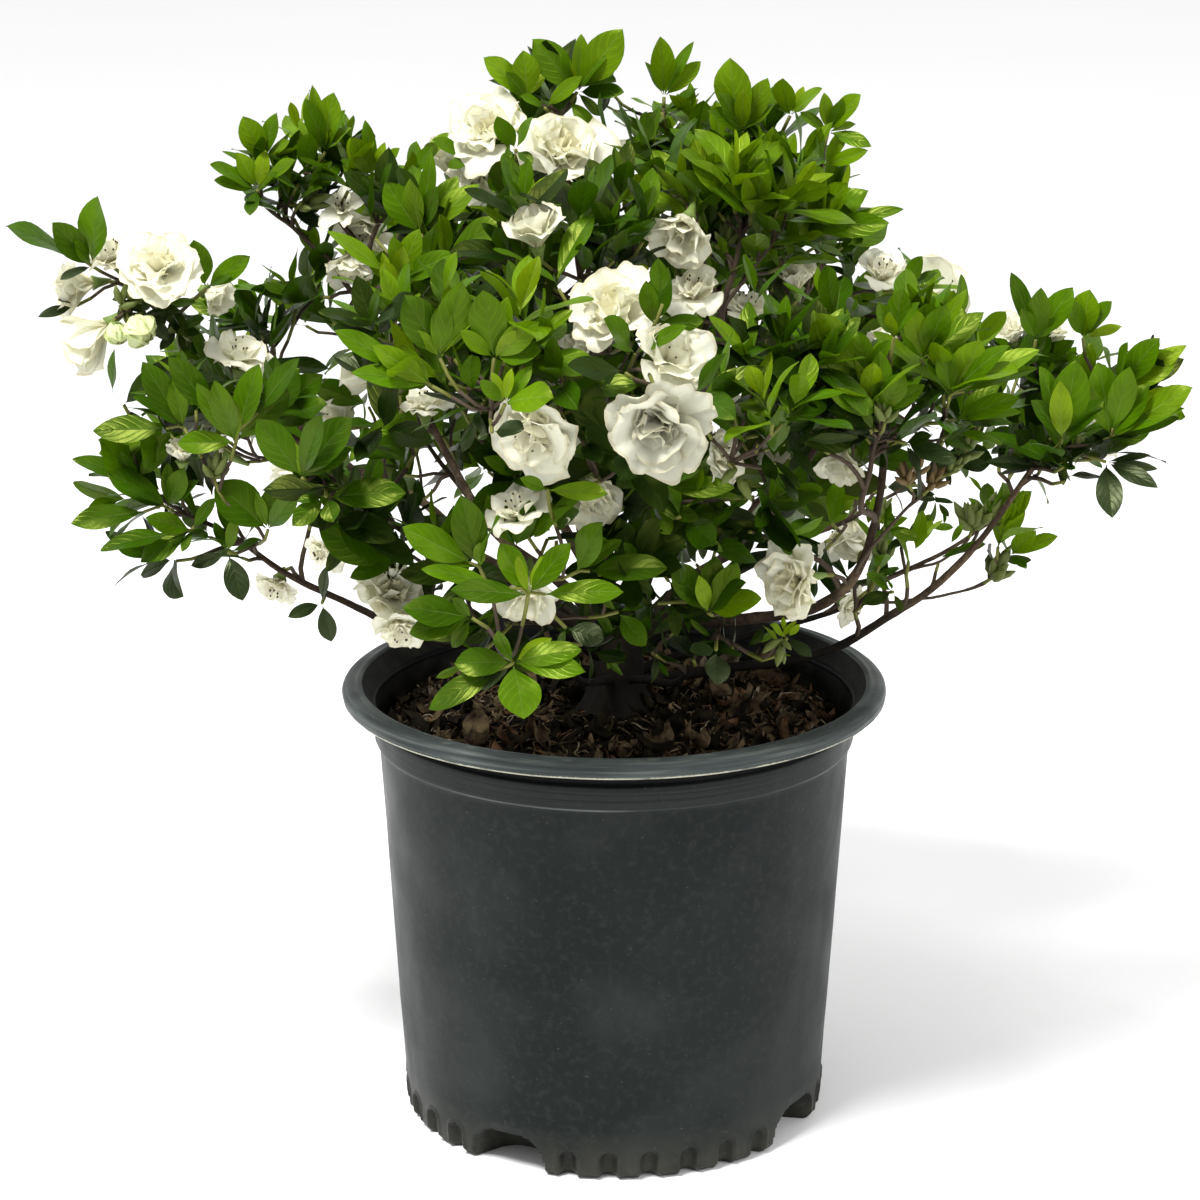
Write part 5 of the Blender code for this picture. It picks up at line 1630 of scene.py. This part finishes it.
def grow_flake(flakes):
    """A curled, jagged flake of bark that lies on the soil."""
    radius, x, y = somewhere_on_soil(0.985)
    size = min(rng.lognormal(-5.78, 0.60), FLAKE_MOST)
    size = min(size, max(SOIL_RADIUS - radius, 0.0015), STEM_FLAKE_MOST if radius < STEM_SOIL_RADIUS else 1.0)
    normal = unit(UP + rng.normal(0.0, 0.75, 3))
    u, v = across(normal)
    spin = rng.uniform(0.0, math.tau)
    u, v = swung(u, v, spin), swung(v, -u, spin)
    slender = rng.uniform(0.16, 0.62)
    curl = rng.uniform(-2.1, 2.1)
    taper = np.sqrt(1.0 - 0.93 * FLAKE_ALONG**2)
    jag = rng.uniform(0.80, 1.15, (len(FLAKE_ALONG), len(FLAKE_ACROSS)))
    wide = FLAKE_ACROSS * taper * slender * size * jag
    long = FLAKE_ALONG * size * np.ones(len(FLAKE_ACROSS))
    lift = curl * FLAKE_ALONG**2 * size * 0.42 + curl * 1.1 * slender * size * FLAKE_ACROSS**2
    lift = lift + rng.normal(0.0, 0.05, jag.shape) * size
    centre = np.array((x, y, soil_height(x, y) + size * 0.12 + 0.0006))
    points = centre + wide[..., None] * u + long[..., None] * v + lift[..., None] * normal
    shares = (0.38, 0.42, 0.14, 0.06) if size > BIG_FLAKE else (0.66, 0.26, 0.05, 0.03)
    slot = int(rng.choice(4, p=shares))
    # painted shade: near the stem most flakes take the darkest tone
    if radius < STEM_SOIL_RADIUS and rng.random() < 0.8:
        slot = 0
    flakes.grid(points, slot=slot)


def grow_fibre(flakes):
    """A thin fibre that wanders over the soil, left out where it would reach the pot."""
    _, x, y = somewhere_on_soil(0.88)
    heading = rng.uniform(0.0, math.tau)
    path = [np.array((x, y, 0.0))]
    for _ in range(6):
        heading += rng.normal(0.0, 0.5)
        path.append(path[-1] + FIBRE_STEP * np.array((math.cos(heading), math.sin(heading), 0.0)))
    path = np.array(path)
    if np.linalg.norm(path[:, :2], axis=1).max() > SOIL_RADIUS - 0.002:
        return
    hump = np.sin(np.linspace(0.0, math.pi, len(path))) * rng.uniform(0.0005, 0.004)
    path[:, 2] = [soil_height(px, py) + 0.0008 for px, py in path[:, :2]] + hump
    radii = np.full(len(path), rng.uniform(0.00022, 0.0005))
    tube(flakes, path, radii, sides=4, slot=int(rng.choice((1, 2, 3))))


def grow_soil():
    """Potting mix: a lumpy bed strewn with curled flakes of bark and fibres."""
    grow_soil_bed()
    flakes = Patchwork()
    for _ in range(FLAKES):
        grow_flake(flakes)
    for _ in range(FIBRES):
        grow_fibre(flakes)
    tones = [
        soil_material("flake_dark", (0.0030, 0.0022, 0.0012), (0.024, 0.018, 0.009)),
        soil_material("flake_brown", (0.023, 0.016, 0.008), (0.190, 0.136, 0.072)),
        soil_material("flake_red", (0.035, 0.017, 0.007), (0.190, 0.105, 0.052)),
        soil_material("flake_tan", (0.080, 0.060, 0.035), (0.330, 0.270, 0.180)),
    ]
    flakes.build("soil_flakes", tones, "soil")


# ---------------------------------------------------------------- build the plant
grow_pot()
grow_soil()
grow_stem()
grow_boughs()
shown_blooms = list_blooms()
grow_front()
grow_rest()


def rib_colour(blade_colour):
    """The pale midrib's colour in a blade of a given colour, duller in a darker blade."""
    light = (blade_colour[1] / 0.19) ** 0.5
    pairs = zip(blade_colour, RIB_COLOUR)
    return tuple((1.0 - RIB_PALENESS) * blade + RIB_PALENESS * pale * light for blade, pale in pairs)


rib_materials = []
for finish, patches in zip(TINTS, blades):
    name, colour, _, glow, gloss_blue, _ = finish
    obj = patches.build(name, [leaf_material(*finish)], "leaf")
    if name == "leaves_mid":
        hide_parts(*[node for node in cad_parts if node.startswith("foliage_")])
    rib_name = name.replace("leaves", "midrib")
    rib_finish = (rib_colour(colour), RIB_ROUGHNESS, glow, gloss_blue, RIB_GLOSS)
    rib_materials.append(leaf_material(rib_name, *rib_finish))
ribs.build("leaf_midribs", rib_materials, "leaf")
twig_tones = [
    twig_material("twig_brown", (0.050, 0.034, 0.020), 0.8),
    twig_material("twig_green", (0.120, 0.126, 0.020), 0.6),
]
twigs.build("twigs", twig_tones, "bark")
bough_obj = limbs.build("stem_and_boughs", [bark_material()], "bark")
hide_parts("stem", *BOUGHS)
petals = [
    petal_material("petal_white", (0.82, 0.815, 0.69), (0.88, 0.87, 0.70), 0.38),
    petal_material("petal_ivory", (0.81, 0.79, 0.62), (0.86, 0.82, 0.58), 0.36),
    petal_material("petal_throat", (0.72, 0.67, 0.43), (0.80, 0.73, 0.44), 0.30),
    petal_material("petal_green", (0.70, 0.77, 0.44), (0.74, 0.80, 0.44), 0.30),
    # petals painted darker, as painted shade on a flower under the crown
    petal_material("petal_painted_shade", (0.58, 0.58, 0.48), (0.60, 0.59, 0.46), 0.30),
]
blossom.build("blossom", petals, "leaf")
blossom_behind.build("blossom_behind", petals, "leaf")
bud_tones = [
    twig_material("bud_scale", (0.085, 0.108, 0.020), 0.6),
    twig_material("sepal", (0.130, 0.190, 0.040), 0.6),
    twig_material("anther", (0.045, 0.025, 0.015), 0.6),
    twig_material("bud_rusty", (0.100, 0.064, 0.018), 0.6),
]
buds.build("buds", bud_tones, "leaf")

# ---------------------------------------------------------------- floor, light and camera
bpy.ops.mesh.primitive_plane_add(size=80.0, location=(0.0, 0.0, 0.0))
floor = bpy.context.object
floor.name = "floor"
floor_material, floor_tree, floor_shader = new_material("floor_pale", (0.90, 0.90, 0.90), 0.9, 0.1)
floor_colour = add_mask(floor_tree, add_noise(floor_tree, 3.0, 2.0), 0.0, 1.0, 0.91, least=0.89)
feed(floor_tree, floor_shader.inputs["Base Color"], floor_colour)
floor.data.materials.append(floor_material)

# A white room, brighter behind and above the plant than in front of it
world = bpy.data.worlds.new("studio")
bpy.context.scene.world = world
world.use_nodes = True
studio = world.node_tree
backdrop = studio.nodes["Background"]
feed(studio, backdrop.inputs["Color"], (1.0, 1.0, 1.0))
way_out = parts_of(studio, "Generated")
rise = add_math(studio, "MULTIPLY_ADD", way_out["Z"], 0.6, way_out["Y"])
share = add_math(studio, "MULTIPLY_ADD", rise, 1.2, 1.0, clamp=True)
feed(studio, backdrop.inputs["Strength"], add_math(studio, "MULTIPLY_ADD", share, 0.61, 0.43))

# Lights: where they stand, how wide they are and their power
LIGHTS = {"key": ((-0.8, -1.1, 2.5), 0.8, 104.0), "fill": ((1.6, -1.4, 1.3), 1.4, 16.0)}
LIGHT_TARGET = Vector((0.0, 0.0, 0.35))
for name, (place, size, power) in LIGHTS.items():
    light = bpy.data.lights.new(name, "AREA")
    light.shape = "DISK"
    light.size = size
    light.energy = power
    lamp = bpy.data.objects.new(name, light)
    bpy.context.scene.collection.objects.link(lamp)
    lamp.location = place
    lamp.rotation_euler = (LIGHT_TARGET - Vector(place)).to_track_quat("-Z", "Y").to_euler()

camera_data = bpy.data.cameras.new("camera")
camera_data.lens = LENS_MM
camera_data.sensor_width = SENSOR_MM
camera_data.clip_end = 100.0
camera = bpy.data.objects.new("camera", camera_data)
bpy.context.scene.collection.objects.link(camera)
turned = Matrix((RIGHTWARDS, UPWARDS, -SIGHT)).transposed().to_4x4()
turned.translation = Vector(EYE)
camera.matrix_world = turned
bpy.context.scene.camera = camera
bpy.context.scene.view_settings.view_transform = "Standard"
